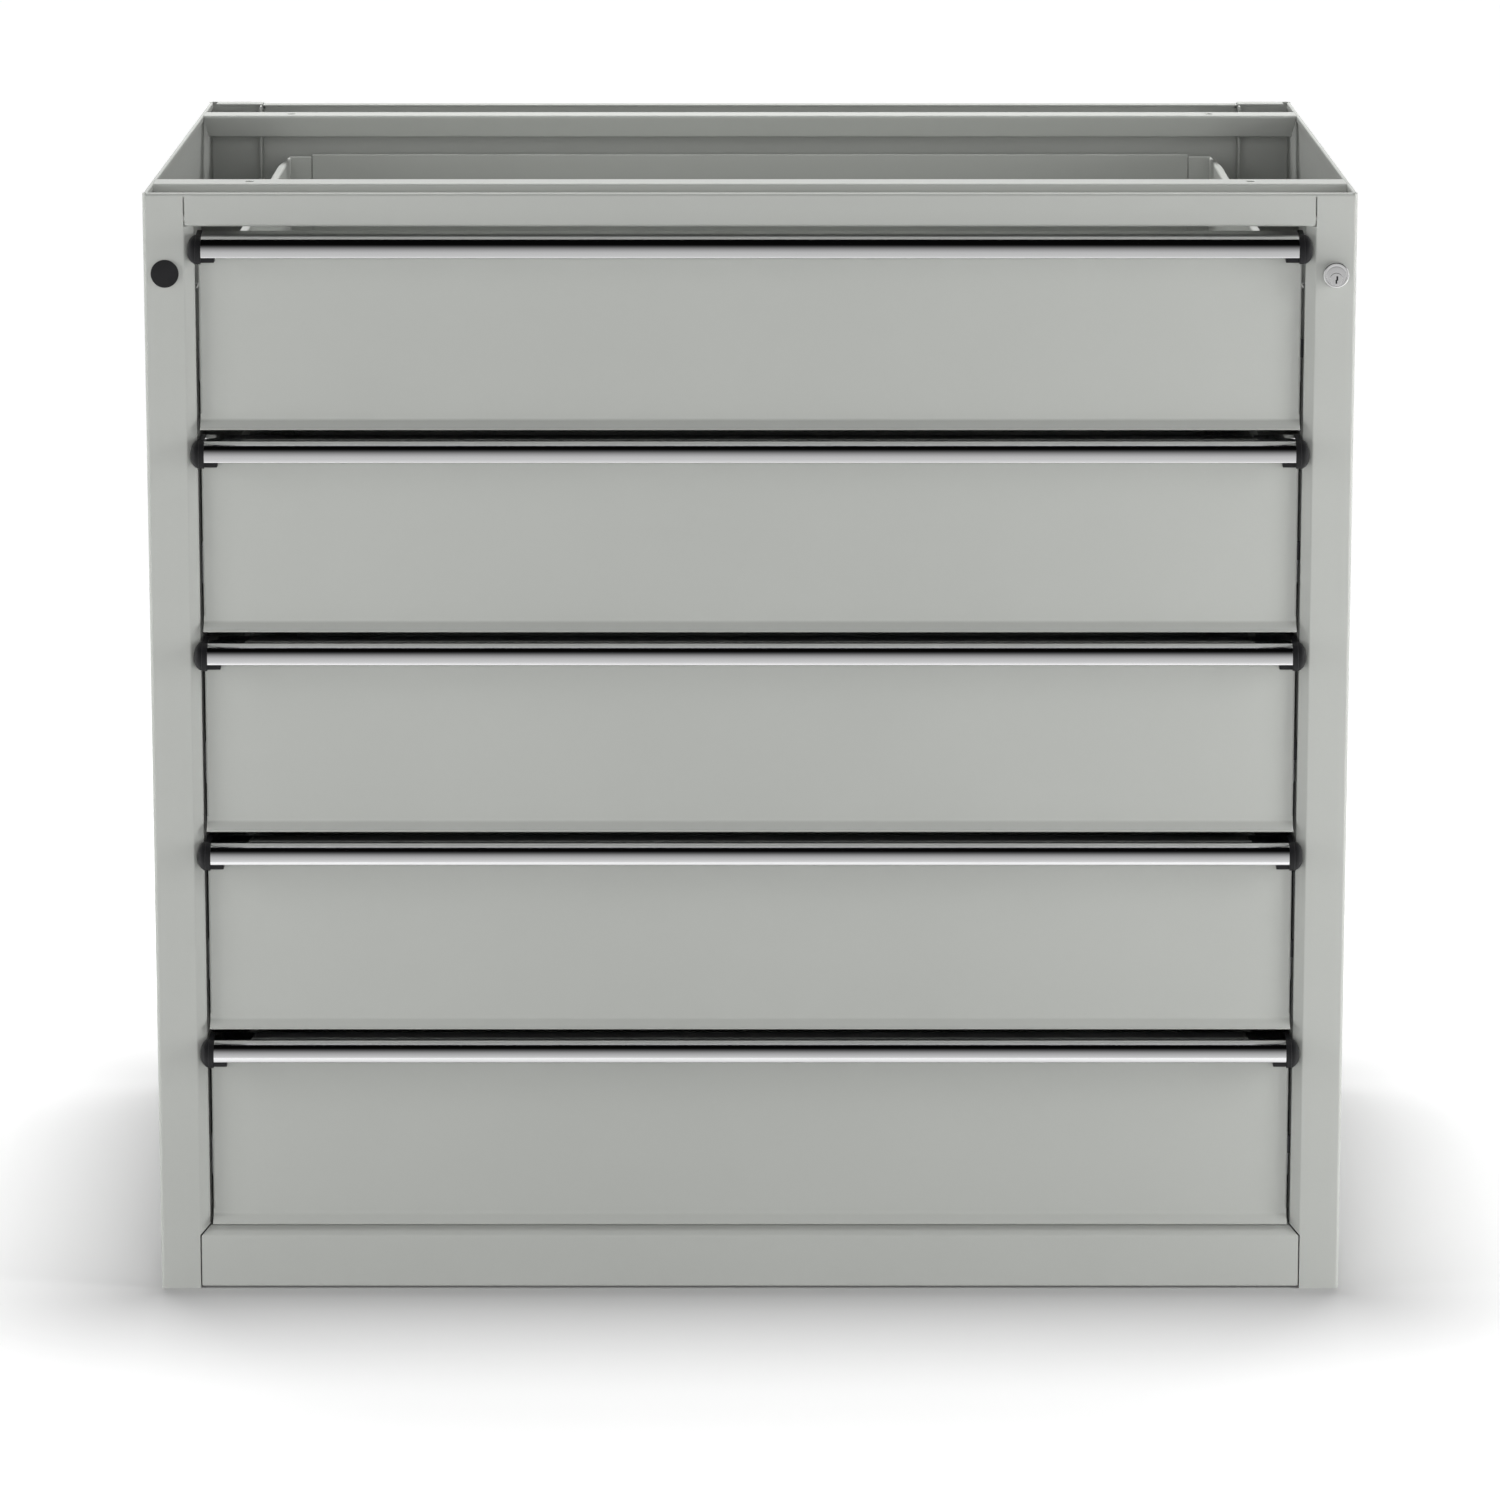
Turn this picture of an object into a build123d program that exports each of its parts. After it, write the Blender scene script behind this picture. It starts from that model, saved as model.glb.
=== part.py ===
"""Drawer cabinet: a bent-sheet carcass, five drawers on roller slides and one lock for all of them.

Millimetres. X runs to the right, Y from front to back and Z up. The origin is at the middle of the base.
Depths are counted from the front of the stiles, so a negative depth stands out in front of them.
"""
from build123d import *
import math
import os

# Overall size
WIDTH = 910.0
HEIGHT = 850.0
DEPTH = 650.0
HANDLE_REACH = 12.4
FRONT = HANDLE_REACH - (DEPTH + HANDLE_REACH) / 2

# Carcass sheet, its bends and the seams between panels
SHEET = 1.5
BEND = 2.5
EDGE_BEND = 3.0
SEAM = 0.3
HALF = WIDTH / 2
INNER = HALF - SHEET
HEMMED = INNER - SHEET
HEM_HEIGHT = 12.0

# Front frame: stiles with a bevelled inner edge, top rail and plinth
STILE_EDGE = HALF - 31.0
BEVEL = 7.0
OPENING = STILE_EDGE - BEVEL
STILE_RETURN = 6.0
TOP_LIP = 6.0
TOP_RAIL_DROP = 25.0
TROUGH = 63.0
WORKTOP_FLANGE = 28.0
PLINTH_CLEARANCE = 1.5
PLINTH_FACE = 42.0
PLINTH_RETURN = 30.0

# Rear, base and inner uprights
REAR_FLANGE = 45.0
REAR_RETURN = 27.0
REAR_TAB = 38.5
BASE_FLANGE = 20.0
REAR_RAIL = 538.0
REAR_RAIL_DROP = 19.0
REAR_RAIL_LEAN = 15.0
REAR_RAIL_NOTCH = 3.0
BACK_DROP = 1.0
FLOOR_TOP = PLINTH_FACE + BEVEL - SHEET
UPRIGHT_WIDTH = 30.0
UPRIGHT_FRONTS = {"front": 26.0, "rear": 520.0}
UPRIGHT_TOP = 775.0
SLOT_HALF_WIDTH = 4.0
SLOT_HALF_HEIGHT = 8.0
SLOTS_PER_DRAWER = 4
BACK_LIP = 16.0
WORKTOP_HOLE_X = 380.0
WORKTOP_HOLE_R = 3.5

# Drawers
DRAWERS = 5
PITCH = 155.0
FIRST_BAY_TOP = HEIGHT - TOP_RAIL_DROP
DRAWER_SHEET = 1.2
DRAWER_BEND = 2.0
FRONT_HALF = 414.5
FRONT_RECESS = BEVEL
FRONT_TOP = 8.0
FRONT_RETURN = 7.5
LIP_HEIGHT = 6.5
LIP_GAP = 1.5
LIP_BEND = 3.0
TRAY_HALF = 382.5
TRAY_WALL = TRAY_HALF + DRAWER_SHEET
RIM_WIDTH = 6.5
RIM_LIP = 10.0
RIM_DROP = 13.0
TRAY_DROP = 152.6
TRAY_BACK = 572.0
TRAY_RETURN = 18.0
BACK_RISE = 1.8

# Handle: an arched grip open below, closed by a cap at each end
RAIL_HALF = 411.0
RAIL_BACK = (16.0, -5.0)
RAIL_SHOULDER = (-2.0, -7.2)
RAIL_RADIUS = 11.27
RAIL_WALL = 1.6
RAIL_LIP = -21.0
RAIL_LEG = -19.0
CAP_FLANGE = 415.3
CAP_TIP = 421.5
CAP_BACK = 13.5
CAP_TOP = -4.2
CAP_BOTTOM = -27.0
CAP_SLOPE = 1.9
CAP_CHEEK = (-9.6, -11.6)
CAP_NOSE = -19.5
CAP_CHIN = 3.0
DOME_RISE = 0.8
CAP_FOOT = 10.0
CAP_FOOT_DEPTH = (-10.5, -1.5)
SPIGOT_DEPTH = (-5.0, 3.8)
SPIGOT_Z = (-18.0, -10.5)

# Roller slides
SLIDE_DROP = 105.0
SLIDE_HALF = 17.0
CABINET_RAIL = (26.0, 600.0)
DRAWER_RAIL = (24.0, 574.0)
CABINET_RAIL_EDGE = 404.5
DRAWER_RAIL_EDGE = 401.5
CARRIAGE = (60.0, 560.0)
CARRIAGE_PLATE = (402.0, 404.0)
CARRIAGE_HALF = 12.0
OUTER_ROLLERS = (350.0, 540.0)
INNER_ROLLERS = (80.0, 270.0)
ROLLER_R = 15.1
ROLLER_WIDTH = 9.5
ROLLER_PLAY = 0.5
STUD_R = 4.0
STUD_FIT = 0.1

# Lock, its bar and the plug that closes the matching hole
LOCK_X = 439.0
LOCK_Z = 789.5
KEY_DROP = 3.0
BARREL_HEAD = (-9.5, 0.0)
BARREL_HEAD_R = 9.7
BARREL_R = 8.8
BARREL_END = 13.8
BARREL_ROUND = 0.9
NUT_HALF = 11.0
NUT_HEIGHT = 5.0
KEY_R = 4.85
KEY_PROUD = 0.3
KEY_FIT = 0.1
KEYWAY_HALF = 0.6
KEYWAY_DEPTH = 8.0
KEYWAY_Z = (-3.2, 2.4)
TAIL_R = 3.0
RIVET_R = 4.2
RIVET_HEIGHT = 1.1
TAIL_FIT = 0.05
CAM = (18.6, 21.3)
CAM_R = 6.5
CAM_REACH = 11.0
PIN_R = 2.0
PIN_START = 14.6
BAR = (15.5, 18.0)
BAR_X = (421.0, 435.4)
BAR_Z = (70.0, 803.0)
BAR_TRAVEL = 15.5
TONGUE_TIP = 409.0
TONGUE_Z = (4.0, 18.0)
CATCH_Z = (19.0, 31.0)
CATCH_FRONT = 20.0
CATCH_TIP = 413.0
CATCH_BASE = 30.0
GUIDE_X = 428.0
GUIDE_Z = (130.0, 440.0, 745.0)
GUIDE_R = 2.5
GUIDE_HEAD_R = 4.5
GUIDE_HEAD = 1.8
GUIDE_PLAY = 0.7
PLUG_HEAD_R = 10.5
PLUG_HEAD = 1.8
PLUG_STEM_R = 8.0
PLUG_BORE_R = 6.5
PLUG_STEM = 8.0
PLUG_BEAD_R = 8.6
PLUG_BEAD = (1.7, 3.4)
HOLE_FIT = 0.2
FIT = 0.3


# Shapes that the pieces are made from

def block(x, depth, z):
    """Box between the low and high values of x, depth and z."""
    spans = (x, (FRONT + depth[0], FRONT + depth[1]), z)
    middle = [(low + high) / 2 for low, high in spans]
    return Pos(*middle) * Box(*[high - low for low, high in spans])


def rod(x, z, depth, radius):
    """Round bar from front to back."""
    middle = FRONT + (depth[0] + depth[1]) / 2
    return Pos(x, middle, z) * Rot(90, 0, 0) * Cylinder(radius, depth[1] - depth[0])


def cross_rod(x, depth, z, radius):
    """Round bar from left to right."""
    return Pos((x[0] + x[1]) / 2, FRONT + depth, z) * Rot(0, 90, 0) * Cylinder(radius, x[1] - x[0])


def bent_face(points, thickness, side, bends):
    """Section of a sheet bent along a path, its thickness laid on one side of the path."""
    return make_face(offset(FilletPolyline(*points, radius=bends), thickness, side=side))


def upright_sheet(path, side, bends, z):
    """Carcass sheet bent along (x, depth) points and running up from z[0] to z[1]."""
    points = [(x, FRONT + depth) for x, depth in path]
    face = Pos(0, 0, z[0]) * bent_face(points, SHEET, side, bends)
    return extrude(face, z[1] - z[0], dir=(0, 0, 1))


def cross_sheet(path, thickness, side, bends, half):
    """Sheet bent along (depth, z) points and running across from -half to half."""
    points = [(FRONT + depth, z) for depth, z in path]
    face = Plane.YZ.offset(-half) * bent_face(points, thickness, side, bends)
    return extrude(face, 2 * half, dir=(1, 0, 0))


def long_sheet(path, thickness, side, bends, depth):
    """Sheet bent along (x, z) points and running back from depth[0] to depth[1]."""
    face = Plane.XZ.offset(-FRONT - depth[0]) * bent_face(path, thickness, side, bends)
    return extrude(face, depth[1] - depth[0], dir=(0, 1, 0))


def side_section(outline, x):
    """Solid of a (depth, z) outline between two values of x."""
    face = Plane.YZ.offset(x[0]) * Pos(FRONT, 0, 0) * make_face(outline)
    return extrude(face, x[1] - x[0], dir=(1, 0, 0))


def on_left(piece):
    """Mirror image of a piece of the right side."""
    return mirror(piece, Plane.YZ)


def pair(piece):
    """A piece of the right side and its mirror image."""
    return Part() + [piece, on_left(piece)]


# Carcass

def side_panel(hole_radius):
    """Right side: one sheet bent into a rear channel, the side and the bevelled stile, with a hole."""
    back = DEPTH - SHEET
    rear = HALF - REAR_FLANGE
    path = [
        (rear, back - REAR_RETURN),
        (rear, back),
        (HALF, back),
        (HALF, 0),
        (STILE_EDGE, 0),
        (OPENING, BEVEL),
        (OPENING, BEVEL + STILE_RETURN),
    ]
    panel = upright_sheet(path, Side.RIGHT, [BEND, EDGE_BEND, EDGE_BEND, BEND, BEND], (0, HEIGHT))
    fold = (back - REAR_RETURN, back - SHEET - SEAM)
    panel -= block((rear, rear + SHEET + BEND), fold, (0, FLOOR_TOP + SEAM))
    tab = block((rear, rear + REAR_TAB), (back - REAR_RETURN, back), (HEIGHT - SHEET, HEIGHT))
    hem = block((HEMMED, INNER), (TOP_LIP, back - TOP_LIP), (HEIGHT - HEM_HEIGHT, HEIGHT))
    lip = block((STILE_EDGE + BEND, INNER), (SHEET, TOP_LIP), (HEIGHT - SHEET, HEIGHT))
    foot = block((INNER - BASE_FLANGE, INNER), (BASE_FLANGE, back - BASE_FLANGE), (0, SHEET))
    return panel + tab + hem + lip + foot - rod(LOCK_X, LOCK_Z, (-SHEET, 2 * SHEET), hole_radius)


def back_panel():
    """Plain rear sheet behind the side flanges, with a lip turned forward along its top."""
    top = HEIGHT - BACK_DROP
    sheet = block((-INNER, INNER), (DEPTH - SHEET, DEPTH), (PLINTH_CLEARANCE, top))
    lip_half = HALF - REAR_FLANGE - SEAM
    return sheet + block((-lip_half, lip_half), (DEPTH - BACK_LIP, DEPTH), (top - SHEET, top))


def floor_panel():
    """Base sheet with flanges turned down along the sides."""
    depth = (BEVEL + 2 * STILE_RETURN, DEPTH - 3 * SHEET)
    sheet = block((-INNER, INNER), depth, (FLOOR_TOP - SHEET, FLOOR_TOP))
    flange = block((HEMMED, INNER), depth, (FLOOR_TOP - BASE_FLANGE, FLOOR_TOP))
    return sheet + flange + on_left(flange)


def worktop_holes(depth):
    """Two clearance holes through a top flange."""
    z = HEIGHT - SHEET / 2
    drill = Pos(WORKTOP_HOLE_X, FRONT + depth, z) * Cylinder(WORKTOP_HOLE_R, 4 * SHEET)
    return pair(drill)


def front_opening(depth):
    """Space between the two bevelled stiles, from the front back to a depth."""
    right = [
        (STILE_EDGE - SEAM, FRONT - SHEET),
        (STILE_EDGE - SEAM, FRONT),
        (OPENING - SEAM, FRONT + BEVEL),
        (OPENING - SEAM, FRONT + depth),
    ]
    left = [(-x, y) for x, y in reversed(right)]
    return extrude(make_face(Polyline(*right, *left, close=True)), 2 * HEIGHT, dir=(0, 0, 1))


def front_top_rail():
    """Trough behind the front rail: lip, face, web, inner wall and the flange under the worktop."""
    low = HEIGHT - TOP_RAIL_DROP
    flange = HEIGHT - SHEET
    back = TROUGH + WORKTOP_FLANGE
    inner = [(TROUGH, low), (TROUGH, flange), (back, flange)]
    face = [(TOP_LIP, HEIGHT), (0, HEIGHT), (0, low)]
    middle = cross_sheet(face + inner, SHEET, Side.LEFT, BEND, STILE_EDGE) & front_opening(back)
    ends = cross_sheet([(UPRIGHT_FRONTS["front"], low)] + inner, SHEET, Side.LEFT, BEND, HEMMED)
    return middle + ends - worktop_holes(TROUGH + WORKTOP_FLANGE / 2)


def rear_top_rail():
    """Channel between the sides: a flange for the back of the worktop over a wall that leans back."""
    low = HEIGHT - REAR_RAIL_DROP
    back = REAR_RAIL + WORKTOP_FLANGE
    path = [(back, HEIGHT), (REAR_RAIL, HEIGHT), (REAR_RAIL + REAR_RAIL_LEAN, low), (back, low)]
    rail = cross_sheet(path, SHEET, Side.LEFT, BEND, HEMMED)
    notch = block((HEMMED - REAR_RAIL_NOTCH, HEMMED), (REAR_RAIL, back), (low, HEIGHT - SHEET - BEND))
    return rail - pair(notch) - worktop_holes(REAR_RAIL + WORKTOP_FLANGE / 2)


def front_plinth_rail():
    """Plinth with a bevelled top edge, mitred against the bevels of the stiles."""
    path = [
        (PLINTH_RETURN / 2, PLINTH_CLEARANCE),
        (0, PLINTH_CLEARANCE),
        (0, PLINTH_FACE),
        (BEVEL, PLINTH_FACE + BEVEL),
        (PLINTH_RETURN, PLINTH_FACE + BEVEL),
    ]
    return cross_sheet(path, SHEET, Side.RIGHT, BEND, STILE_EDGE) & front_opening(PLINTH_RETURN)


def upright(front):
    """Right upright: a channel with a row of slots in its web that the slides hook into."""
    back = front + UPRIGHT_WIDTH
    path = [(INNER, front), (OPENING, front), (OPENING, back), (INNER, back)]
    channel = upright_sheet(path, Side.RIGHT, BEND, (FLOOR_TOP, UPRIGHT_TOP))
    middle = front + UPRIGHT_WIDTH / 2
    pitch = PITCH / SLOTS_PER_DRAWER
    x = (OPENING - SHEET, OPENING + 2 * SHEET)
    depth = (middle - SLOT_HALF_WIDTH, middle + SLOT_HALF_WIDTH)
    heights = [FLOOR_TOP + pitch * (n + 0.5) for n in range(SLOTS_PER_DRAWER * DRAWERS)]
    return channel - [block(x, depth, (z - SLOT_HALF_HEIGHT, z + SLOT_HALF_HEIGHT)) for z in heights]


# Roller slides

def slide_height(bay_top):
    """Middle height of a drawer's slides."""
    return bay_top - SLIDE_DROP


def channel(web, edge, z, side, depth):
    """Channel with its web at one value of x and its two flanges ending at another."""
    path = [(edge, z + SLIDE_HALF), (web, z + SLIDE_HALF), (web, z - SLIDE_HALF), (edge, z - SLIDE_HALF)]
    return long_sheet(path, SHEET, side, BEND, depth)


def cabinet_rails(bay_top):
    """Fixed rails on the uprights."""
    return pair(channel(OPENING, CABINET_RAIL_EDGE, slide_height(bay_top), Side.RIGHT, CABINET_RAIL))


def drawer_rails(bay_top):
    """Rails on the walls of the tray."""
    return pair(channel(TRAY_WALL, DRAWER_RAIL_EDGE, slide_height(bay_top), Side.LEFT, DRAWER_RAIL))


def roller_stations(bay_top):
    """Where each roller of the right slide runs: its span in x, its depth and its height."""
    z = slide_height(bay_top)
    low, high = CARRIAGE_PLATE
    outer = (high + ROLLER_PLAY, high + ROLLER_PLAY + ROLLER_WIDTH)
    inner = (low - ROLLER_PLAY - ROLLER_WIDTH, low - ROLLER_PLAY)
    return [(outer, depth, z) for depth in OUTER_ROLLERS] + [(inner, depth, z) for depth in INNER_ROLLERS]


def carriages(bay_top):
    """Floating plates between the rails, with a stud for each roller."""
    z = slide_height(bay_top)
    plate = block(CARRIAGE_PLATE, CARRIAGE, (z - CARRIAGE_HALF, z + CARRIAGE_HALF))
    for (low, high), depth, height in roller_stations(bay_top):
        reach = (min(low, CARRIAGE_PLATE[0]), max(high, CARRIAGE_PLATE[1]))
        plate += cross_rod(reach, depth, height, STUD_R)
    return pair(plate)


def rollers(bay_top):
    """Rollers that run in the two rails of each slide."""
    right = []
    for span, depth, z in roller_stations(bay_top):
        right.append(cross_rod(span, depth, z, ROLLER_R) - cross_rod(span, depth, z, STUD_R + STUD_FIT))
    return Part() + right + [on_left(roller) for roller in right]


# Drawers

def tray(bay_top):
    """Sheet box with rims folded outward along its sides and a slightly taller back."""
    floor = bay_top - TRAY_DROP
    rim = bay_top - RIM_DROP
    front = FRONT_RECESS + DRAWER_SHEET
    back = (TRAY_BACK, TRAY_BACK + DRAWER_SHEET)
    wall_path = [
        (TRAY_HALF, floor),
        (TRAY_HALF, rim),
        (TRAY_HALF + RIM_WIDTH, rim),
        (TRAY_HALF + RIM_WIDTH, rim - RIM_LIP),
    ]
    wall = long_sheet(wall_path, DRAWER_SHEET, Side.RIGHT, DRAWER_BEND, (front, TRAY_BACK))
    corner = block((TRAY_HALF - TRAY_RETURN, TRAY_HALF), (TRAY_BACK - DRAWER_SHEET, TRAY_BACK), (floor, rim))
    box = block((-TRAY_WALL, TRAY_WALL), (front, back[1]), (floor, floor + DRAWER_SHEET))
    box += block((-TRAY_WALL, TRAY_WALL), (front, front + DRAWER_SHEET), (floor, rim))
    box += block((-TRAY_WALL, TRAY_WALL), back, (floor, rim + BACK_RISE))
    return box + wall + corner + on_left(wall) + on_left(corner)


def drawer_front(bay_top):
    """Front panel: top flange, face and a lip flared forward along the bottom, with side flanges."""
    top = bay_top - FRONT_TOP
    lip_end = bay_top - PITCH + LIP_GAP
    lip_start = lip_end + LIP_HEIGHT
    back = FRONT_RECESS + FRONT_RETURN
    path = [
        (back, top),
        (FRONT_RECESS, top),
        (FRONT_RECESS, lip_start),
        (FRONT_RECESS - LIP_HEIGHT, lip_end),
    ]
    panel = cross_sheet(path, DRAWER_SHEET, Side.LEFT, [DRAWER_BEND, LIP_BEND], FRONT_HALF)
    edge = (FRONT_HALF - DRAWER_SHEET, FRONT_HALF)
    flange = block(edge, (FRONT_RECESS + DRAWER_SHEET / 2, back), (lip_start, top))
    return panel + flange + on_left(flange)


def arch_centre():
    """Centre of the arched part of the handle, square to the sloping top at the shoulder."""
    slope = math.atan2(RAIL_BACK[1] - RAIL_SHOULDER[1], RAIL_BACK[0] - RAIL_SHOULDER[0])
    across = RAIL_SHOULDER[0] + RAIL_RADIUS * math.sin(slope)
    return across, RAIL_SHOULDER[1] - RAIL_RADIUS * math.cos(slope)


def arch_point(radius, z):
    """Point of the front half of an arch at a height."""
    across, up = arch_centre()
    return across - math.sqrt(radius**2 - (z - up) ** 2), z


def arch_arc(radius, start, end):
    """Arc of the arch between two points, bulging to the front."""
    across, up = arch_centre()
    angle = math.radians(150)
    return ThreePointArc(start, (across + radius * math.cos(angle), up + radius * math.sin(angle)), end)


def handle_rail(bay_top):
    """Arched grip with a sloping top and a leg against the front panel."""
    inner_r = RAIL_RADIUS - RAIL_WALL
    lip = arch_point(RAIL_RADIUS, RAIL_LIP)
    inner_lip = arch_point(inner_r, RAIL_LIP)
    across, up = arch_centre()
    shoulder_in = (
        across + (RAIL_SHOULDER[0] - across) * inner_r / RAIL_RADIUS,
        up + (RAIL_SHOULDER[1] - up) * inner_r / RAIL_RADIUS,
    )
    leg = FRONT_RECESS - RAIL_WALL
    outline = [
        Line(RAIL_BACK, RAIL_SHOULDER),
        arch_arc(RAIL_RADIUS, RAIL_SHOULDER, lip),
        Line(lip, inner_lip),
        arch_arc(inner_r, inner_lip, shoulder_in),
        Polyline(
            shoulder_in,
            (leg, -FRONT_TOP),
            (leg, RAIL_LEG),
            (FRONT_RECESS, RAIL_LEG),
            (FRONT_RECESS, -FRONT_TOP),
            (RAIL_BACK[0], RAIL_BACK[1] - RAIL_WALL),
            RAIL_BACK,
        ),
    ]
    return Pos(0, 0, bay_top) * side_section(Curve() + outline, (-RAIL_HALF, RAIL_HALF))


def end_cap(bay_top):
    """Right end cap: a flange that follows the grip, a domed end, a spigot and a foot under the grip."""
    seat = FRONT_RECESS - FIT
    top = -FRONT_TOP + FIT
    shoulder = (RAIL_SHOULDER[0], CAP_TOP - CAP_SLOPE)
    nose = (-HANDLE_REACH, CAP_NOSE)
    chin = (-HANDLE_REACH + CAP_CHIN, CAP_BOTTOM)
    outline = [
        Polyline(chin, (seat, CAP_BOTTOM), (seat, top), (CAP_BACK, top), (CAP_BACK, CAP_TOP), shoulder),
        ThreePointArc(shoulder, CAP_CHEEK, nose),
        TangentArc(nose, chin, tangent=(0, -1)),
    ]
    cap = side_section(Curve() + outline, (RAIL_HALF, CAP_FLANGE))
    dome_x = (CAP_FLANGE, CAP_TIP)
    rise = DOME_RISE * (shoulder[1] - CAP_BOTTOM)
    dome = scale(Sphere(1), by=(CAP_TIP - CAP_FLANGE, HANDLE_REACH - FIT, rise))
    dome = Pos(CAP_FLANGE, FRONT - FIT, shoulder[1] - rise) * dome
    ahead = block(dome_x, (-HANDLE_REACH, -FIT), (CAP_BOTTOM, 0))
    cap += side_section(Curve() + outline, dome_x) & ahead & dome
    inward = (RAIL_HALF - CAP_FOOT, RAIL_HALF)
    cap += block(inward, CAP_FOOT_DEPTH, (CAP_BOTTOM + 1, RAIL_LIP - FIT))
    cap += block(inward, SPIGOT_DEPTH, SPIGOT_Z)
    return Pos(0, 0, bay_top) * cap


def end_caps(bay_top):
    """Both end caps of a handle."""
    return pair(end_cap(bay_top))


def lock_catch(bay_top):
    """Bracket on the right wall of the tray, caught by a tongue of the locking bar."""
    z = tuple(slide_height(bay_top) + height for height in CATCH_Z)
    base = block((TRAY_WALL, TRAY_WALL + SHEET), (CATCH_FRONT, CATCH_FRONT + CATCH_BASE), z)
    return base + block((TRAY_WALL, CATCH_TIP), (CATCH_FRONT, CATCH_FRONT + SHEET), z)


# Lock

def hole_plug():
    """Cap with a flat head and a hollow stem, snapped into the hole in the left stile."""
    bore = rod(-LOCK_X, LOCK_Z, (0, PLUG_STEM), PLUG_BORE_R)
    head = rod(-LOCK_X, LOCK_Z, (-PLUG_HEAD, 0), PLUG_HEAD_R)
    stem = rod(-LOCK_X, LOCK_Z, (-PLUG_HEAD / 2, PLUG_STEM), PLUG_STEM_R)
    return head + stem + rod(-LOCK_X, LOCK_Z, PLUG_BEAD, PLUG_BEAD_R) - bore


def lock_barrel():
    """Cylinder housing with a bore for the key plug below its middle."""
    head = rod(LOCK_X, LOCK_Z, BARREL_HEAD, BARREL_HEAD_R)
    head = fillet(head.edges().group_by(Axis.Y)[0], BARREL_ROUND)
    body = head + rod(LOCK_X, LOCK_Z, (0, BARREL_END), BARREL_R)
    return body - rod(LOCK_X, LOCK_Z - KEY_DROP, (BARREL_HEAD[0], BARREL_END), KEY_R + KEY_FIT)


def lock_nut():
    """Hexagon nut that clamps the housing from behind the stile."""
    hexagon = Pos(LOCK_X, LOCK_Z) * RegularPolygon(NUT_HALF, 6, major_radius=False)
    nut = extrude(Plane.XZ.offset(-FRONT - SHEET) * hexagon, NUT_HEIGHT, dir=(0, 1, 0))
    return nut - rod(LOCK_X, LOCK_Z, (0, 2 * NUT_HEIGHT), BARREL_R + TAIL_FIT)


def lock_key_plug():
    """Turning plug with a keyway, a tail for the cam and a riveted end."""
    z = LOCK_Z - KEY_DROP
    face = BARREL_HEAD[0] - KEY_PROUD
    plug = rod(LOCK_X, z, (face, BARREL_END), KEY_R)
    plug += rod(LOCK_X, z, (BARREL_END, CAM[1]), TAIL_R)
    plug += rod(LOCK_X, z, (CAM[1], CAM[1] + RIVET_HEIGHT), RIVET_R)
    keyway = (z + KEYWAY_Z[0], z + KEYWAY_Z[1])
    return plug - block((LOCK_X - KEYWAY_HALF, LOCK_X + KEYWAY_HALF), (face, face + KEYWAY_DEPTH), keyway)


def cam_pin():
    """Place of the pin when the lock is open, low and to the left of the plug's axis."""
    step = CAM_REACH * math.sqrt(0.5)
    return LOCK_X - step, LOCK_Z - KEY_DROP - step


def lock_cam():
    """Cam with a pin that lifts the locking bar as the key turns."""
    x, z = cam_pin()
    centre = (LOCK_X, LOCK_Z - KEY_DROP)
    outline = make_hull((Pos(*centre) * Circle(CAM_R) + Pos(x, z) * Circle(2 * PIN_R)).edges())
    arm = extrude(Plane.XZ.offset(-FRONT - CAM[0]) * outline, CAM[1] - CAM[0], dir=(0, 1, 0))
    arm -= rod(*centre, CAM, TAIL_R + TAIL_FIT)
    return arm + rod(x, z, (PIN_START, CAM[1]), PIN_R)


def locking_bar():
    """Flat bar behind the right stile, with guide slots and a notch for the pin of the cam."""
    bar = block(BAR_X, BAR, BAR_Z)
    half = GUIDE_R + FIT
    for z in GUIDE_Z:
        bar -= block((GUIDE_X - half, GUIDE_X + half), BAR, (z - BAR_TRAVEL - half, z + half))
    x, z = cam_pin()
    reach = PIN_R + 2 * FIT
    notch = (LOCK_X - CAM_REACH - reach, BAR_X[1])
    return bar - block(notch, BAR, (z - reach - FIT, z + reach + FIT))


def lock_tongues(bay_tops):
    """One tongue per drawer, standing inward from the locking bar."""
    levels = [slide_height(bay_top) for bay_top in bay_tops]
    low, high = TONGUE_Z
    return Part() + [block((TONGUE_TIP, BAR_X[0]), BAR, (level + low, level + high)) for level in levels]


def bar_guide_screws():
    """Shoulder screws in the right front upright that guide the locking bar."""
    shank = (BAR[0] - GUIDE_PLAY, UPRIGHT_FRONTS["front"])
    head = (shank[0] - GUIDE_HEAD, shank[0])
    return Part() + [rod(GUIDE_X, z, shank, GUIDE_R) + rod(GUIDE_X, z, head, GUIDE_HEAD_R) for z in GUIDE_Z]


# Every piece by name

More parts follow.
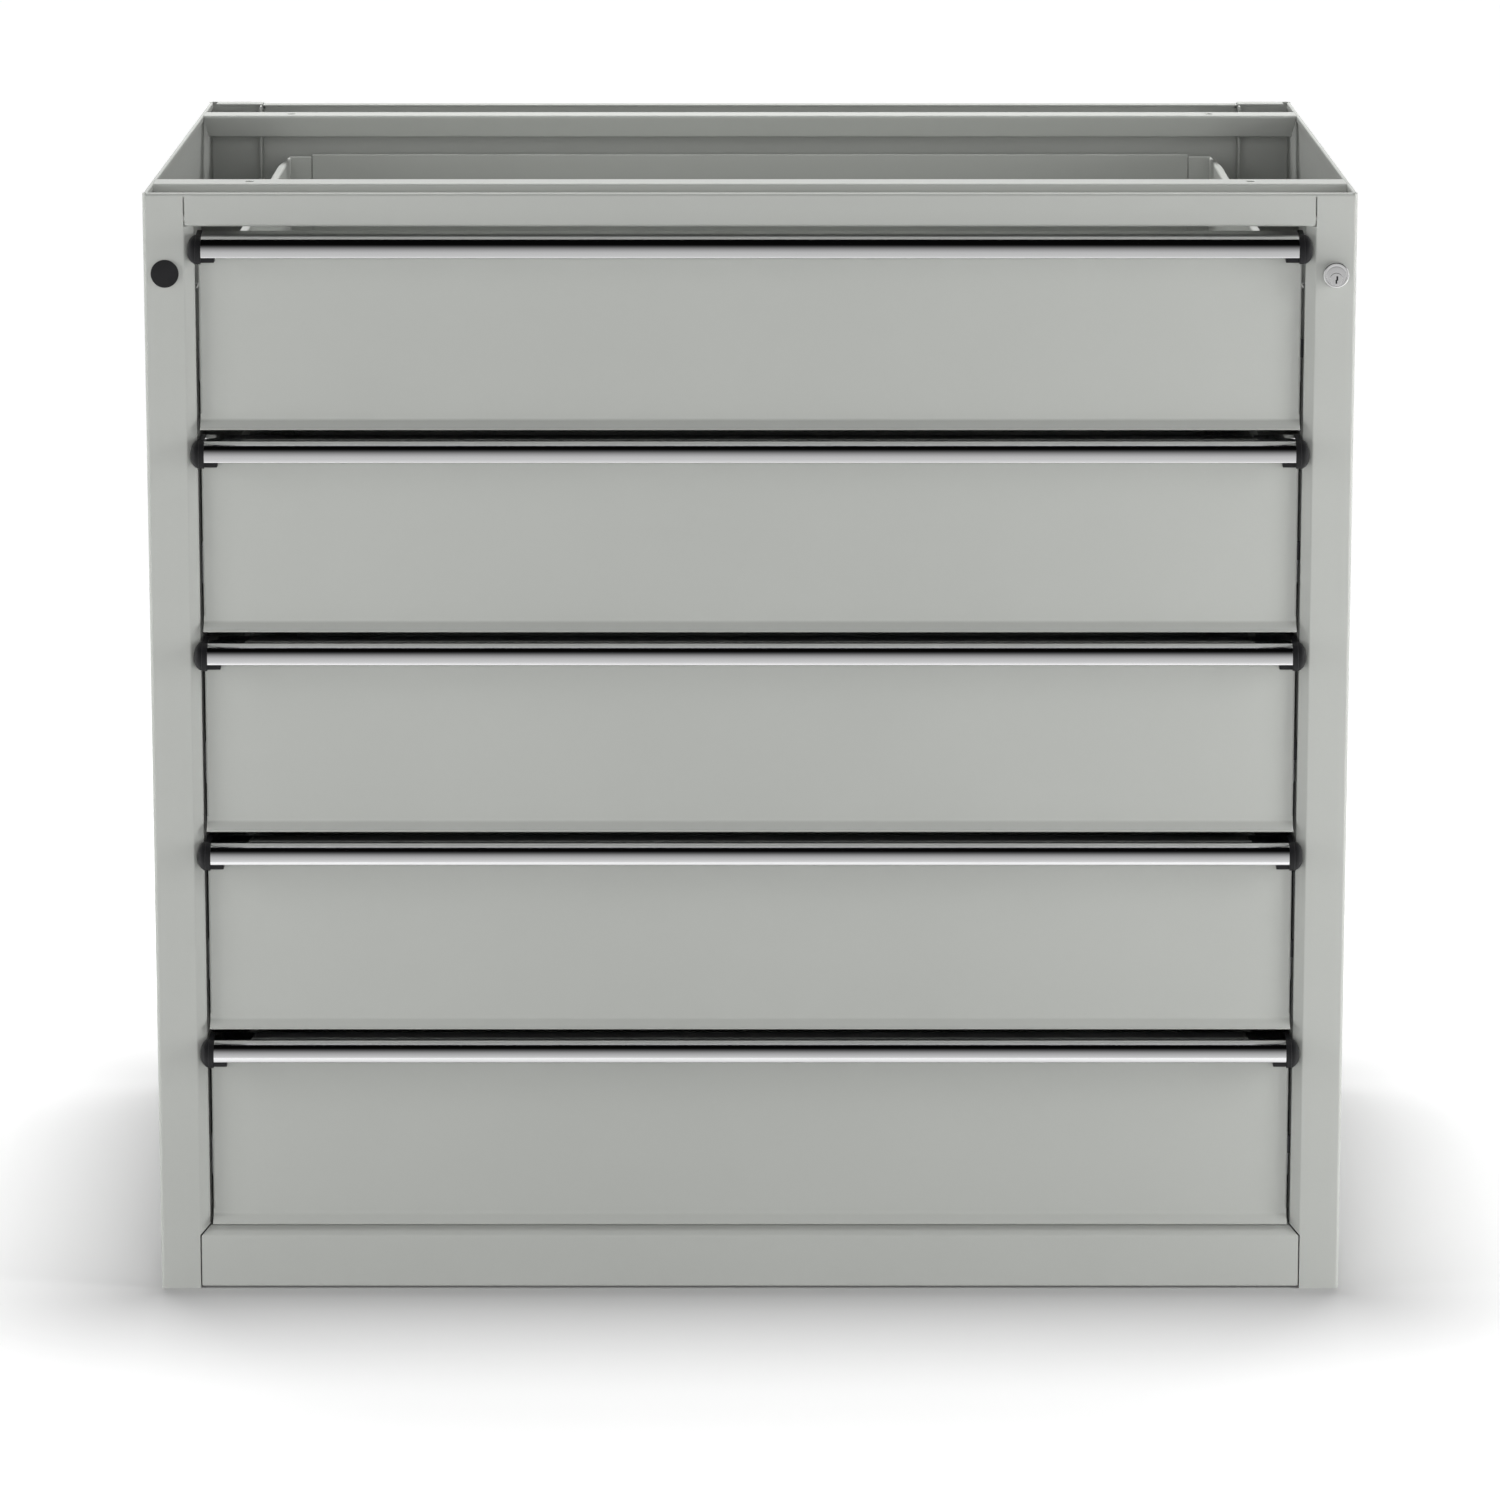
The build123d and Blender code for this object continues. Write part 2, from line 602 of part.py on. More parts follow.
def all_pieces():
    """Each node of the cabinet by name."""
    bay_tops = [FIRST_BAY_TOP - n * PITCH for n in range(DRAWERS)]
    pieces = {
        "right_side_panel": side_panel(BARREL_R + HOLE_FIT),
        "left_side_panel": on_left(side_panel(PLUG_STEM_R + HOLE_FIT)),
        "back_panel": back_panel(),
        "floor_panel": floor_panel(),
        "front_top_rail": front_top_rail(),
        "rear_top_rail": rear_top_rail(),
        "front_plinth_rail": front_plinth_rail(),
        "cabinet_rails": Part() + [cabinet_rails(bay_top) for bay_top in bay_tops],
        "hole_plug": hole_plug(),
        "lock_barrel": lock_barrel(),
        "lock_nut": lock_nut(),
        "lock_key_plug": lock_key_plug(),
        "lock_cam": lock_cam(),
        "locking_bar": locking_bar(),
        "lock_tongues": lock_tongues(bay_tops),
        "bar_guide_screws": bar_guide_screws(),
    }
    for place, front in UPRIGHT_FRONTS.items():
        pieces[f"right_{place}_upright"] = upright(front)
        pieces[f"left_{place}_upright"] = on_left(upright(front))
    drawer_pieces = (tray, drawer_front, handle_rail, end_caps, drawer_rails, carriages, rollers, lock_catch)
    for number, bay_top in enumerate(bay_tops, start=1):
        for make in drawer_pieces:
            name = make.__name__.removeprefix("drawer_")
            pieces[f"drawer_{number}_{name}"] = make(bay_top)
    return pieces


os.makedirs("parts", exist_ok=True)
for node, piece in all_pieces().items():
    export_step(piece, f"parts/{node}.step")
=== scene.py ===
"""Drawer cabinet: bent sheet, grips, lock, finishes and studio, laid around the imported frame.

Sizes are millimetres, as on a maker's drawing, and turn into metres where a mesh is written. X runs to the
right, Y from front to back and Z up. A depth is counted back from the front of the stiles.
"""
import logging
import math
from collections.abc import Callable, Sequence
from dataclasses import dataclass, field
from enum import Enum

import bmesh
import bpy
import numpy as np
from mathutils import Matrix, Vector


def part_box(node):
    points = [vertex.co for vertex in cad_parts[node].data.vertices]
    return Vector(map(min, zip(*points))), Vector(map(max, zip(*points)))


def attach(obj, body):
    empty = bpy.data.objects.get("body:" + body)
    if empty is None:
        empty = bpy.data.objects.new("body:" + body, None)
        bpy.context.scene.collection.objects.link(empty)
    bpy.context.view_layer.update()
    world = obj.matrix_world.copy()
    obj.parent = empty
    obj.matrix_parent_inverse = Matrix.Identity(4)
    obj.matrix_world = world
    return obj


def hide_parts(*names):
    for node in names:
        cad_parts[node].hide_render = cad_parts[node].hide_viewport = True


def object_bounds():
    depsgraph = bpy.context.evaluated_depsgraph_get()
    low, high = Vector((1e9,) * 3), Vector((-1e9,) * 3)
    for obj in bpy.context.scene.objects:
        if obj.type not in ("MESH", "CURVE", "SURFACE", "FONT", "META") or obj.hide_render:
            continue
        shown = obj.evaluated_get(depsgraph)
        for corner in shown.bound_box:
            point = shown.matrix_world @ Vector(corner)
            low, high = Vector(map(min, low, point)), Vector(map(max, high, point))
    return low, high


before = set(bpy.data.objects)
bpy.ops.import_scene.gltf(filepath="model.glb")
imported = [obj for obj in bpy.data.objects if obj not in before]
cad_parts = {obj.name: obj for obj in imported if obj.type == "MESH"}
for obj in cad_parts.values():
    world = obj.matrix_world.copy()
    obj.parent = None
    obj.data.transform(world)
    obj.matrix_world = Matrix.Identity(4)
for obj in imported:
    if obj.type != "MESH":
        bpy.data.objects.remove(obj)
CAD_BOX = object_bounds()

LOG = logging.getLogger("drawer_cabinet")
Array = np.ndarray
Point = tuple[float, float]
Triple = tuple[float, float, float]
Extent = float | Callable[[Array], Array]
Socket = bpy.types.NodeSocket

METRES = 0.001
DRAWERS = 5
BEND_STEPS = 8
EDGE_STEPS = 4
RIM_STEPS = 5
EDGE_SHARE = 0.3
END_ROUND = 0.4
BUTT_ROUND = 0.05
CUTTER_ROUND = 0.01
OVERSHOOT = 1.0
SHARP_ANGLE = math.radians(38)
WELD_DISTANCE = 1e-6
TINY = 1e-12
QUARTER = math.pi / 2
RINGS_PER_WAVE = 20
NOISE_MIDDLE = (0.3, 0.7)


def box_mm(node: str) -> tuple[Array, Array]:
    """Lowest and highest corner of a CAD node, in millimetres."""
    low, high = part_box(node)
    return np.array(low) / METRES, np.array(high) / METRES


FRONT = box_mm("right_side_panel")[0][1]


class Slot(Enum):
    """Material slots that the finishes carry."""

    GREY_PAINT = "grey_paint"
    POLISHED_RAIL = "polished_rail"
    LOCK_CHROME = "lock_chrome"
    BLACK_PLASTIC = "black_plastic"
    ZINC_STEEL = "zinc_steel"
    NYLON = "nylon"


class Run(Enum):
    """Direction in which a section is carried."""

    UPRIGHT = "a section in x and depth, carried up"
    ACROSS = "a section in depth and z, carried along x"
    BACKWARD = "a section in x and z, carried along the depth"

    def place(self, section: Array, along: Array) -> Array:
        """Put section points at places along the run.

        Args:
            section: points of the section, in its own two axes.
            along: place of each point along the run.

        Returns:
            Points in x, y and z.
        """
        first, second = section[..., 0], section[..., 1]
        axes = {
            Run.UPRIGHT: (first, FRONT + second, along),
            Run.ACROSS: (along, FRONT + first, second),
            Run.BACKWARD: (first, FRONT + along, second),
        }
        return np.stack(axes[self], axis=-1)


# Shapes worked out as arrays

def unit(vectors: Array) -> Array:
    """Vectors of length one along the last axis."""
    return vectors / np.maximum(np.linalg.norm(vectors, axis=-1, keepdims=True), TINY)


def left_of(vectors: Array) -> Array:
    """Vectors turned a quarter to the left."""
    return np.stack([-vectors[..., 1], vectors[..., 0]], axis=-1)


def both_ways(reach: Extent) -> tuple[Extent, Extent]:
    """Span that reaches as far to the left as to the right."""
    return (lambda section: -reach(section), reach) if callable(reach) else (-reach, reach)


def rounded_path(corners: Sequence[Point], radii: Sequence[float]) -> tuple[Array, Array]:
    """Path of straight runs joined by arcs that touch both runs of a corner.

    An arc of radius r that turns by t starts r tan(t/2) before its corner. Its normals turn evenly from one
    run's normal to the next, and each point lies r from the arc's centre along them. A radius of 0 keeps the
    corner.

    Args:
        corners: the corners of the path, ends included.
        radii: one radius for each inner corner.

    Returns:
        The path's points and the normals on its left.
    """
    points = np.asarray(corners, float)
    runs = unit(np.diff(points, axis=0))
    normals = left_of(runs)
    path, sides = [points[:1]], [normals[:1]]
    for corner, before, after, normal, radius in zip(points[1:-1], runs, runs[1:], normals, radii):
        turn = math.atan2(before[0] * after[1] - before[1] * after[0], before @ after)
        if radius == 0:
            path.append(corner[None])
            sides.append(normal[None])
            continue
        sense = math.copysign(radius, turn)
        centre = corner - radius * math.tan(abs(turn) / 2) * before + sense * normal
        angle = np.linspace(0, turn, BEND_STEPS + 1)[:, None]
        swung = np.cos(angle) * normal + np.sin(angle) * left_of(normal)
        path.append(centre - sense * swung)
        sides.append(swung)
    return np.vstack(path + [points[-1:]]), np.vstack(sides + [normals[-1:]])


def rounded_outline(corners: Sequence[Point], radii: Sequence[float]) -> Array:
    """Closed outline with arcs at its corners.

    Args:
        corners: the corners in order.
        radii: one radius for each corner.

    Returns:
        The outline's points, without the first one again at the end.
    """
    start = (np.asarray(corners[-1], float) + np.asarray(corners[0], float)) / 2
    path, _ = rounded_path([tuple(start), *corners, tuple(start)], radii)
    return path[1:-1]


def arc(centre: Point, radius: float, start: float, end: float, steps: int) -> Array:
    """Points on a circle between two angles in radians."""
    angle = np.linspace(start, end, steps + 1)
    return np.stack([centre[0] + radius * np.cos(angle), centre[1] + radius * np.sin(angle)], axis=-1)


def circle_through(first: Point, second: Point, third: Point) -> tuple[Point, float]:
    """Circle through three points.

    Its centre c solves 2 (p - first) . c = p.p - first.first for the other two points p.

    Args:
        first: a point of the circle.
        second: another point.
        third: a third point, not in line with the others.

    Returns:
        The centre and the radius.
    """
    base = np.asarray(first, float)
    others = np.asarray([second, third], float)
    centre = np.linalg.solve(2 * (others - base), (others**2).sum(axis=1) - base @ base)
    return (float(centre[0]), float(centre[1])), float(np.linalg.norm(base - centre))


@dataclass
class Shell:
    """Points and faces of one closed surface, in millimetres."""

    points: Array
    faces: list[list[int]]

    @classmethod
    def stacked(cls, rings: Array, caps: Array | None = None) -> "Shell":
        """Join closed rings of points in order.

        Args:
            rings: the points, ring by ring.
            caps: faces that close the last ring, as places in a ring. Turned over, they close the first ring.

        Returns:
            The surface.
        """
        count, around = rings.shape[:2]
        row = np.arange(count - 1)[:, None] * around
        column = np.arange(around)
        after = (column + 1) % around
        quads = np.stack([row + column, row + after, row + around + after, row + around + column], axis=-1)
        faces = quads.reshape(-1, 4).tolist()
        if caps is not None:
            faces += caps[:, ::-1].tolist() + (caps + (count - 1) * around).tolist()
        return cls(rings.reshape(-1, 3), faces)

    def mirrored(self) -> "Shell":
        """The same surface on the other side of the cabinet."""
        return Shell(self.points * (-1, 1, 1), [face[::-1] for face in self.faces])

    def outward(self) -> "Shell":
        """The same surface with its faces pointing out, told by the sign of the volume that they enclose.

        Returns:
            The surface.
        """
        fans = [(face[0], *pair) for face in self.faces for pair in zip(face[1:], face[2:])]
        first, second, third = self.points[np.array(fans)].swapaxes(0, 1)
        if np.sum(first * np.cross(second, third)) > 0:
            return self
        return Shell(self.points, [face[::-1] for face in self.faces])


def carried(section: Array, inward: Array, run: Run, span: tuple[Extent, Extent], edge: float,
            caps: Array) -> Shell:
    """Carry a closed section along a run, with rounded ends.

    Near both ends the rings stand r (1 - cos a) from the end and are drawn r (1 - sin a) in.

    Args:
        section: points of the section, in its own two axes.
        inward: direction in which each point is drawn in.
        run: the direction.
        span: where the run starts and ends. An end may be a function of the section's points, as at a mitre.
        edge: radius r of the ends.
        caps: faces of the end, as places in the section.

    Returns:
        The closed surface.
    """
    turn = np.linspace(0, QUARTER, EDGE_STEPS)[:, None]
    draw = edge * (1 - np.cos(turn))
    loops = section + (edge * (1 - np.sin(turn)))[..., None] * inward
    low, high = (end(loops[-1]) if callable(end) else np.full(len(section), float(end)) for end in span)
    along = np.vstack([low + draw, (high - draw)[::-1]])
    return Shell.stacked(run.place(np.concatenate([loops, loops[::-1]]), along), caps)


def bent_sheet(corners: Sequence[Point], bends: Sequence[float], thickness: float, run: Run,
               span: tuple[Extent, Extent], left: bool = False, edge: float = END_ROUND) -> Shell:
    """Bend a sheet along a path and carry that section along a run.

    The other skin is the path moved by the thickness along its normals. At both free edges the skins end in
    quarter arcs, so that a cut edge looks coated and not sharp.

    Args:
        corners: the path of one skin.
        bends: radius of that skin at each inner corner.
        thickness: thickness of the sheet.
        run: the direction.
        span: where the run starts and ends.
        left: whether the other skin lies on the left of the path.
        edge: radius of the cut ends.

    Returns:
        The closed surface.
    """
    path, normals = rounded_path(corners, bends)
    across = normals if left else -normals
    swing = np.linspace(QUARTER, 0, EDGE_STEPS)[:, None]
    draw = EDGE_SHARE * thickness * (np.sin(swing) - 1)
    lift = EDGE_SHARE * thickness * (1 - np.cos(swing))
    skins = []
    for base, sense in ((path, 1.0), (path + thickness * across, -1.0)):
        start = base[0] + draw * unit(base[0] - base[1]) + sense * lift * across[0]
        end = base[-1] + draw * unit(base[-1] - base[-2]) + sense * lift * across[-1]
        skins.append(np.vstack([start, base[1:-1], end[::-1]]))
    gap = unit(skins[1] - skins[0])
    section = np.concatenate([skins[0], skins[1][::-1]])
    first = np.arange(len(gap) - 1)
    last = len(section) - 1 - first
    caps = np.stack([first, first + 1, last - 1, last], axis=-1)
    return carried(section, np.concatenate([gap, -gap[::-1]]), run, span, edge, caps)


def slab(outline: Array, run: Run, span: Point, edge: float) -> Shell:
    """Solid of an outline carried along a run, with its ends drawn in along the outline's normals.

    Args:
        outline: closed outline in the section's axes.
        run: the direction.
        span: where the run starts and ends.
        edge: radius of the rounded ends.

    Returns:
        The closed surface.
    """
    after = np.roll(outline, -1, axis=0)
    step = unit(after - outline)
    area = np.sum(outline[:, 0] * after[:, 1] - outline[:, 1] * after[:, 0])
    inward = math.copysign(1, area) * unit(left_of(step + np.roll(step, 1, axis=0)))
    return carried(outline, inward, run, span, edge, np.arange(len(outline))[None])


def rounded_box(x: Point, depth: Point, z: Point, edge: float = END_ROUND) -> Shell:
    """Box with rounded edges between the low and high values of x, depth and z."""
    corners = [(x[0], depth[0]), (x[1], depth[0]), (x[1], depth[1]), (x[0], depth[1])]
    return slab(rounded_outline(corners, [edge] * 4), Run.UPRIGHT, z, edge)


def turned(profile: Sequence[Sequence[float]], centre: Triple, axis: Triple, segments: int) -> Shell:
    """Surface of circles stacked along an axis.

    Each row of the profile gives a circle's radius, its place along the axis and its centre's raise. The
    point at angle a is centre + along axis + raise up + r (cos a side + sin a up). A profile that ends at
    radius 0 closes in a pole, and one that returns to its start closes in a ring.

    Args:
        profile: rows of radius, place along the axis and, if wanted, raise.
        centre: x, depth and z of a point on the axis.
        axis: direction of the axis, along X or Y.
        segments: number of points on a circle.

    Returns:
        The closed surface.
    """
    rows = np.zeros((len(profile), 3))
    for row, values in zip(rows, profile):
        row[:len(values)] = values
    forward = np.asarray(axis, float)
    upward = np.array([0.0, 0.0, 1.0])
    angle = np.linspace(0, 2 * math.pi, segments, endpoint=False)[None, :, None]
    ring = np.cos(angle) * np.cross(upward, forward) + np.sin(angle) * upward
    radius, along, lift = (column[:, None, None] for column in rows.T)
    middle = np.asarray(centre, float) + (0, FRONT, 0)
    return Shell.stacked(middle + along * forward + lift * upward + radius * ring)


def rounded_rim(radius: float, along: float, edge: float, sense: float) -> list[Point]:
    """Profile rows of a rounded rim, a quarter arc from the flat end face onto the cylinder.

    Args:
        radius: radius of the cylinder.
        along: place of the end face along the axis.
        edge: radius of the rim.
        sense: 1 where the cylinder lies further along the axis, else -1.

    Returns:
        Rows of radius and place.
    """
    turn = np.linspace(0, QUARTER, RIM_STEPS)
    radii = radius - edge * (1 - np.sin(turn))
    return list(zip(radii, along + sense * edge * (1 - np.cos(turn))))


# Finishes

class Nodes:
    """Short way to lay out the shader nodes of a finish or of the surroundings."""

    def __init__(self, owner: bpy.types.Material | bpy.types.World, shader: str = "Principled BSDF") -> None:
        """Start from the usual shader of a material or a world.

        Args:
            owner: the material or the world.
            shader: the shader's name.
        """
        owner.use_nodes = True
        self.tree = owner.node_tree
        self.shader = self.tree.nodes[shader]

    def feed(self, node: bpy.types.Node, inputs: dict[str | int, object]) -> bpy.types.Node:
        """Set a node's inputs, each to a constant or to another node's socket.

        Args:
            node: the node.
            inputs: sockets or constants by the input's name or number.

        Returns:
            The node.
        """
        for key, value in inputs.items():
            if isinstance(value, Socket):
                self.tree.links.new(value, node.inputs[key])
            else:
                node.inputs[key].default_value = value
        return node

    def add(self, kind: str, inputs: dict[str | int, object], **settings: object) -> bpy.types.Node:
        """Add a node.

        Args:
            kind: the node's type.
            inputs: sockets or constants by the input's name or number.
            settings: the node's own properties.

        Returns:
            The node.
        """
        node = self.tree.nodes.new(kind)
        for key, value in settings.items():
            setattr(node, key, value)
        return self.feed(node, inputs)

    def set(self, **inputs: object) -> None:
        """Set inputs of the shader, with _ for each space in a name."""
        self.feed(self.shader, {key.replace("_", " "): value for key, value in inputs.items()})

    def number(self, operation: str, *values: object) -> Socket:
        """Result of arithmetic on numbers."""
        return self.add("ShaderNodeMath", dict(enumerate(values)), operation=operation).outputs[0]

    def vector(self, operation: str, *values: object) -> Socket:
        """Result of arithmetic on vectors, which for a length is a number."""
        node = self.add("ShaderNodeVectorMath", dict(enumerate(values)), operation=operation)
        return node.outputs["Value" if operation == "LENGTH" else "Vector"]

    def place(self, stretch: Triple = (1, 1, 1), shift: Triple = (0, 0, 0)) -> Socket:
        """Object coordinates, moved by shift and then stretched."""
        here = self.add("ShaderNodeTexCoord", {}).outputs["Object"]
        return self.vector("MULTIPLY", self.vector("ADD", here, shift), stretch)

    def grain(self, size: float, detail: float = 2.0, stretch: Triple = (1, 1, 1)) -> Socket:
        """Noise with spots of a size in millimetres."""
        inputs = {"Vector": self.place(stretch), "Scale": 1 / (size * METRES), "Detail": detail}
        return self.add("ShaderNodeTexNoise", inputs).outputs["Fac"]

    def spread(self, value: Socket, low: float, high: float) -> Socket:
        """Stretch the middle of a noise over a range of numbers."""
        inputs = {"Value": value, "From Min": NOISE_MIDDLE[0], "From Max": NOISE_MIDDLE[1],
                  "To Min": low, "To Max": high}
        return self.add("ShaderNodeMapRange", inputs).outputs["Result"]

    def tint(self, value: Socket, stops: Sequence[tuple[float, Triple]]) -> Socket:
        """Colours at places between 0 and 1.

        Args:
            value: the number that picks the colour.
            stops: places in order, each with its colour.

        Returns:
            The colour.
        """
        ramp = self.add("ShaderNodeValToRGB", {"Fac": value})
        elements = ramp.color_ramp.elements
        elements[0].position, elements[1].position = stops[0][0], stops[-1][0]
        for position, _ in stops[1:-1]:
            elements.new(position)
        for element, (_, colour) in zip(sorted(elements, key=lambda each: each.position), stops):
            element.color = (*colour, 1.0)
        return ramp.outputs["Color"]

    def relief(self, height: Socket, depth: float) -> None:
        """Raise the surface by a height pattern of a depth in millimetres."""
        inputs = {"Height": height, "Distance": depth * METRES, "Strength": 1.0}
        self.set(Normal=self.add("ShaderNodeBump", inputs).outputs["Normal"])


@dataclass(frozen=True)
class Finish:
    """A finish: a colour in soft clouds, and a fine texture in the surface and its gloss."""

    name: str
    slot: Slot
    colour: Triple
    metallic: float = 0.0
    gloss: float = 0.5
    roughness: Point = (0.3, 0.5)
    cloud_size: float = 60.0
    cloud_detail: float = 3.0
    cloud_stops: Point = NOISE_MIDDLE
    variation: float = 0.01
    texture_size: float = 0.5
    texture_depth: float = 0.02
    texture_stretch: Triple = (1.0, 1.0, 1.0)

    def material(self) -> bpy.types.Material:
        """The finish as a material, made once.

        Returns:
            The material.
        """
        material = bpy.data.materials.get(self.name)
        if material:
            return material
        material = bpy.data.materials.new(self.name)
        nodes = Nodes(material)
        shares = (1 - self.variation, 1 + self.variation)
        shades = [tuple(channel * share for channel in self.colour) for share in shares]
        colour = nodes.tint(self.clouds(nodes), list(zip(self.cloud_stops, shades)))
        texture = self.texture(nodes)
        nodes.set(Base_Color=colour, Roughness=nodes.spread(texture, *self.roughness))
        nodes.set(Metallic=self.metallic, Specular_IOR_Level=self.gloss)
        nodes.relief(texture, self.texture_depth)
        return material

    def clouds(self, nodes: Nodes) -> Socket:
        """Pattern that the colour follows."""
        return nodes.grain(self.cloud_size, self.cloud_detail)

    def texture(self, nodes: Nodes) -> Socket:
        """Pattern that the surface and its gloss follow."""
        return nodes.grain(self.texture_size, stretch=self.texture_stretch)


@dataclass(frozen=True)
class PowderCoat(Finish):
    """Satin powder coat with a fine orange peel."""

    gloss: float = 0.4
    roughness: Point = (0.42, 0.52)
    cloud_size: float = 160.0
    variation: float = 0.012
    texture_size: float = 1.5
    texture_depth: float = 0.03


@dataclass(frozen=True)
class PolishedMetal(Finish):
    """Bright rolled metal with faint long lines along its length."""

    metallic: float = 1.0
    roughness: Point = (0.045, 0.10)
    texture_depth: float = 0.0008
    texture_stretch: Triple = (0.004, 1.0, 1.0)


@dataclass(frozen=True)
class MouldedPlastic(Finish):
    """Moulded plastic with a fine spark-eroded grain and a little mottling."""

    gloss: float = 0.25
    roughness: Point = (0.34, 0.46)
    cloud_size: float = 9.0
    variation: float = 0.08


@dataclass(frozen=True)
class PlatedLock(Finish):
    """Nickel plate, turned on its face."""

    metallic: float = 1.0
    roughness: Point = (0.12, 0.24)
    cloud_size: float = 8.0
    variation: float = 0.03
    texture_size: float = 0.35
    texture_depth: float = 0.004
    axis: Triple = (0.0, 0.0, 0.0)
    wobble: float = 0.4

    def texture(self, nodes: Nodes) -> Socket:
        """Turning rings about the lock's axis, a texture size apart.

        Args:
            nodes: where the pattern is laid out.

        Returns:
            The pattern.
        """
        here = nodes.place(shift=tuple(-value * METRES for value in self.axis))
        scale = 1 / (RINGS_PER_WAVE * self.texture_size * METRES)
        inputs = {"Vector": here, "Scale": scale, "Distortion": self.wobble, "Detail": 1.0}
        wave = nodes.add("ShaderNodeTexWave", inputs, wave_type="RINGS", rings_direction="Y")
        return wave.outputs["Fac"]


@dataclass(frozen=True)
class ZincPlate(Finish):
    """Bright zinc plate: crystals of different brightness over lines from the rolling mill."""

    metallic: float = 1.0
    roughness: Point = (0.26, 0.42)
    cloud_size: float = 5.0
    cloud_stops: Point = (0.2, 0.8)
    variation: float = 0.1
    texture_size: float = 0.7
    texture_depth: float = 0.003
    texture_stretch: Triple = (1.0, 0.02, 1.0)

    def clouds(self, nodes: Nodes) -> Socket:
        """Crystals of a size."""
        inputs = {"Vector": nodes.place(), "Scale": 1 / (self.cloud_size * METRES)}
        return nodes.add("ShaderNodeTexVoronoi", inputs).outputs["Color"]


def lock_place() -> Point:
    """The lock's axis in x and z, read from the frame."""
    low, high = box_mm("lock_barrel")
    return (low[0] + high[0]) / 2, (low[2] + high[2]) / 2


class Palette:
    """The finishes of the cabinet."""

    def __init__(self) -> None:
        """Choose the finishes, with the lock's rings about its own axis."""
        x, z = lock_place()
        self.paint = PowderCoat("light_grey_powder_coat", Slot.GREY_PAINT, (0.41, 0.42, 0.40))
        self.rail = PolishedMetal("polished_grip", Slot.POLISHED_RAIL, (0.80, 0.80, 0.81))
        self.lock = PlatedLock("nickel_lock", Slot.LOCK_CHROME, (0.78, 0.78, 0.78), axis=(x, FRONT, z))
        self.black = MouldedPlastic("black_moulding", Slot.BLACK_PLASTIC, (0.012, 0.012, 0.013))
        self.nylon = MouldedPlastic("white_nylon", Slot.NYLON, (0.78, 0.77, 0.73), gloss=0.5,
                                    texture_depth=0.01)
        self.zinc = ZincPlate("bright_zinc", Slot.ZINC_STEEL, (0.55, 0.56, 0.57))
        # Darker copy of the zinc: painted shade on the locking parts seen through the gaps beside the
        # drawers.
        self.shade_darkened_zinc = ZincPlate("dark_passivated_zinc", Slot.ZINC_STEEL, (0.06, 0.06, 0.065))


# Pieces

def add_object(name: str, data: bpy.types.ID) -> bpy.types.Object:
    """Add an object to the scene.

    Args:
        name: the object's name.
        data: its mesh, camera or lamp.

    Returns:
        The object.
    """
    made = bpy.data.objects.new(name, data)
    bpy.context.scene.collection.objects.link(made)
    return made


@dataclass
class Piece:
    """One visible piece: closed surfaces that become a mesh and ride on a body."""

    name: str
    body: str
    finish: Finish
    nodes: tuple[str, ...] = ()
    shells: list[Shell] = field(default_factory=list)

    def add(self, *shells: Shell) -> "Piece":
        """Add surfaces."""
        self.shells += shells
        return self

    def add_pair(self, *shells: Shell) -> "Piece":
        """Add surfaces and their mirror images."""
        self.shells += [copy for shell in shells for copy in (shell, shell.mirrored())]
        return self

    def write(self, holes: Sequence[Shell] = ()) -> None:
        """Write the piece as an object that rides on its body.

        Args:
            holes: surfaces of what is cut away.
        """
        target = add_object(self.name, as_mesh(self.name, self.shells))
        if holes:
            cut_away(target, holes)
        target.data.materials.clear()
        target.data.materials.append(self.finish.material())
        target.data.shade_smooth()
        target.data.set_sharp_from_angle(angle=SHARP_ANGLE)
        even = target.modifiers.new("even_normals", "WEIGHTED_NORMAL")
        even.keep_sharp = True
        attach(target, self.body)
        if self.nodes:
            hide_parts(*self.nodes)
        LOG.info("%s: %d faces on %s", self.name, len(target.data.polygons), self.body)


def as_mesh(name: str, shells: Sequence[Shell]) -> bpy.types.Mesh:
    """Write closed surfaces as one mesh with merged doubles and faces that point outwards.

    Args:
        name: the mesh's name.
        shells: the surfaces.

    Returns:
        The mesh, in metres.
    """
    shells = [shell.outward() for shell in shells]
    starts = np.cumsum([0] + [len(shell.points) for shell in shells])
    points = np.vstack([shell.points for shell in shells]) * METRES
    faces = [[start + i for i in face] for start, shell in zip(starts, shells) for face in shell.faces]
    mesh = bpy.data.meshes.new(name)
    mesh.from_pydata(points.tolist(), [], faces)
    work = bmesh.new()
    work.from_mesh(mesh)
    bmesh.ops.remove_doubles(work, verts=work.verts, dist=WELD_DISTANCE)
    work.to_mesh(mesh)
    work.free()
    return mesh


def cut_away(target: bpy.types.Object, holes: Sequence[Shell]) -> None:
    """Cut closed surfaces out of an object's mesh.

    Args:
        target: the object.
        holes: surfaces of what is cut away.
    """
    cutter = add_object("cutter", as_mesh("cutter", holes))
    cut = target.modifiers.new("cut", "BOOLEAN")
    cut.operation = "DIFFERENCE"
    cut.solver = "EXACT"
    cut.use_self = True
    cut.object = cutter
    whole = target.data
    finished = target.evaluated_get(bpy.context.evaluated_depsgraph_get())
    target.data = bpy.data.meshes.new_from_object(finished)
    target.modifiers.clear()
    bpy.data.meshes.remove(whole)
    bpy.data.meshes.remove(cutter.data)


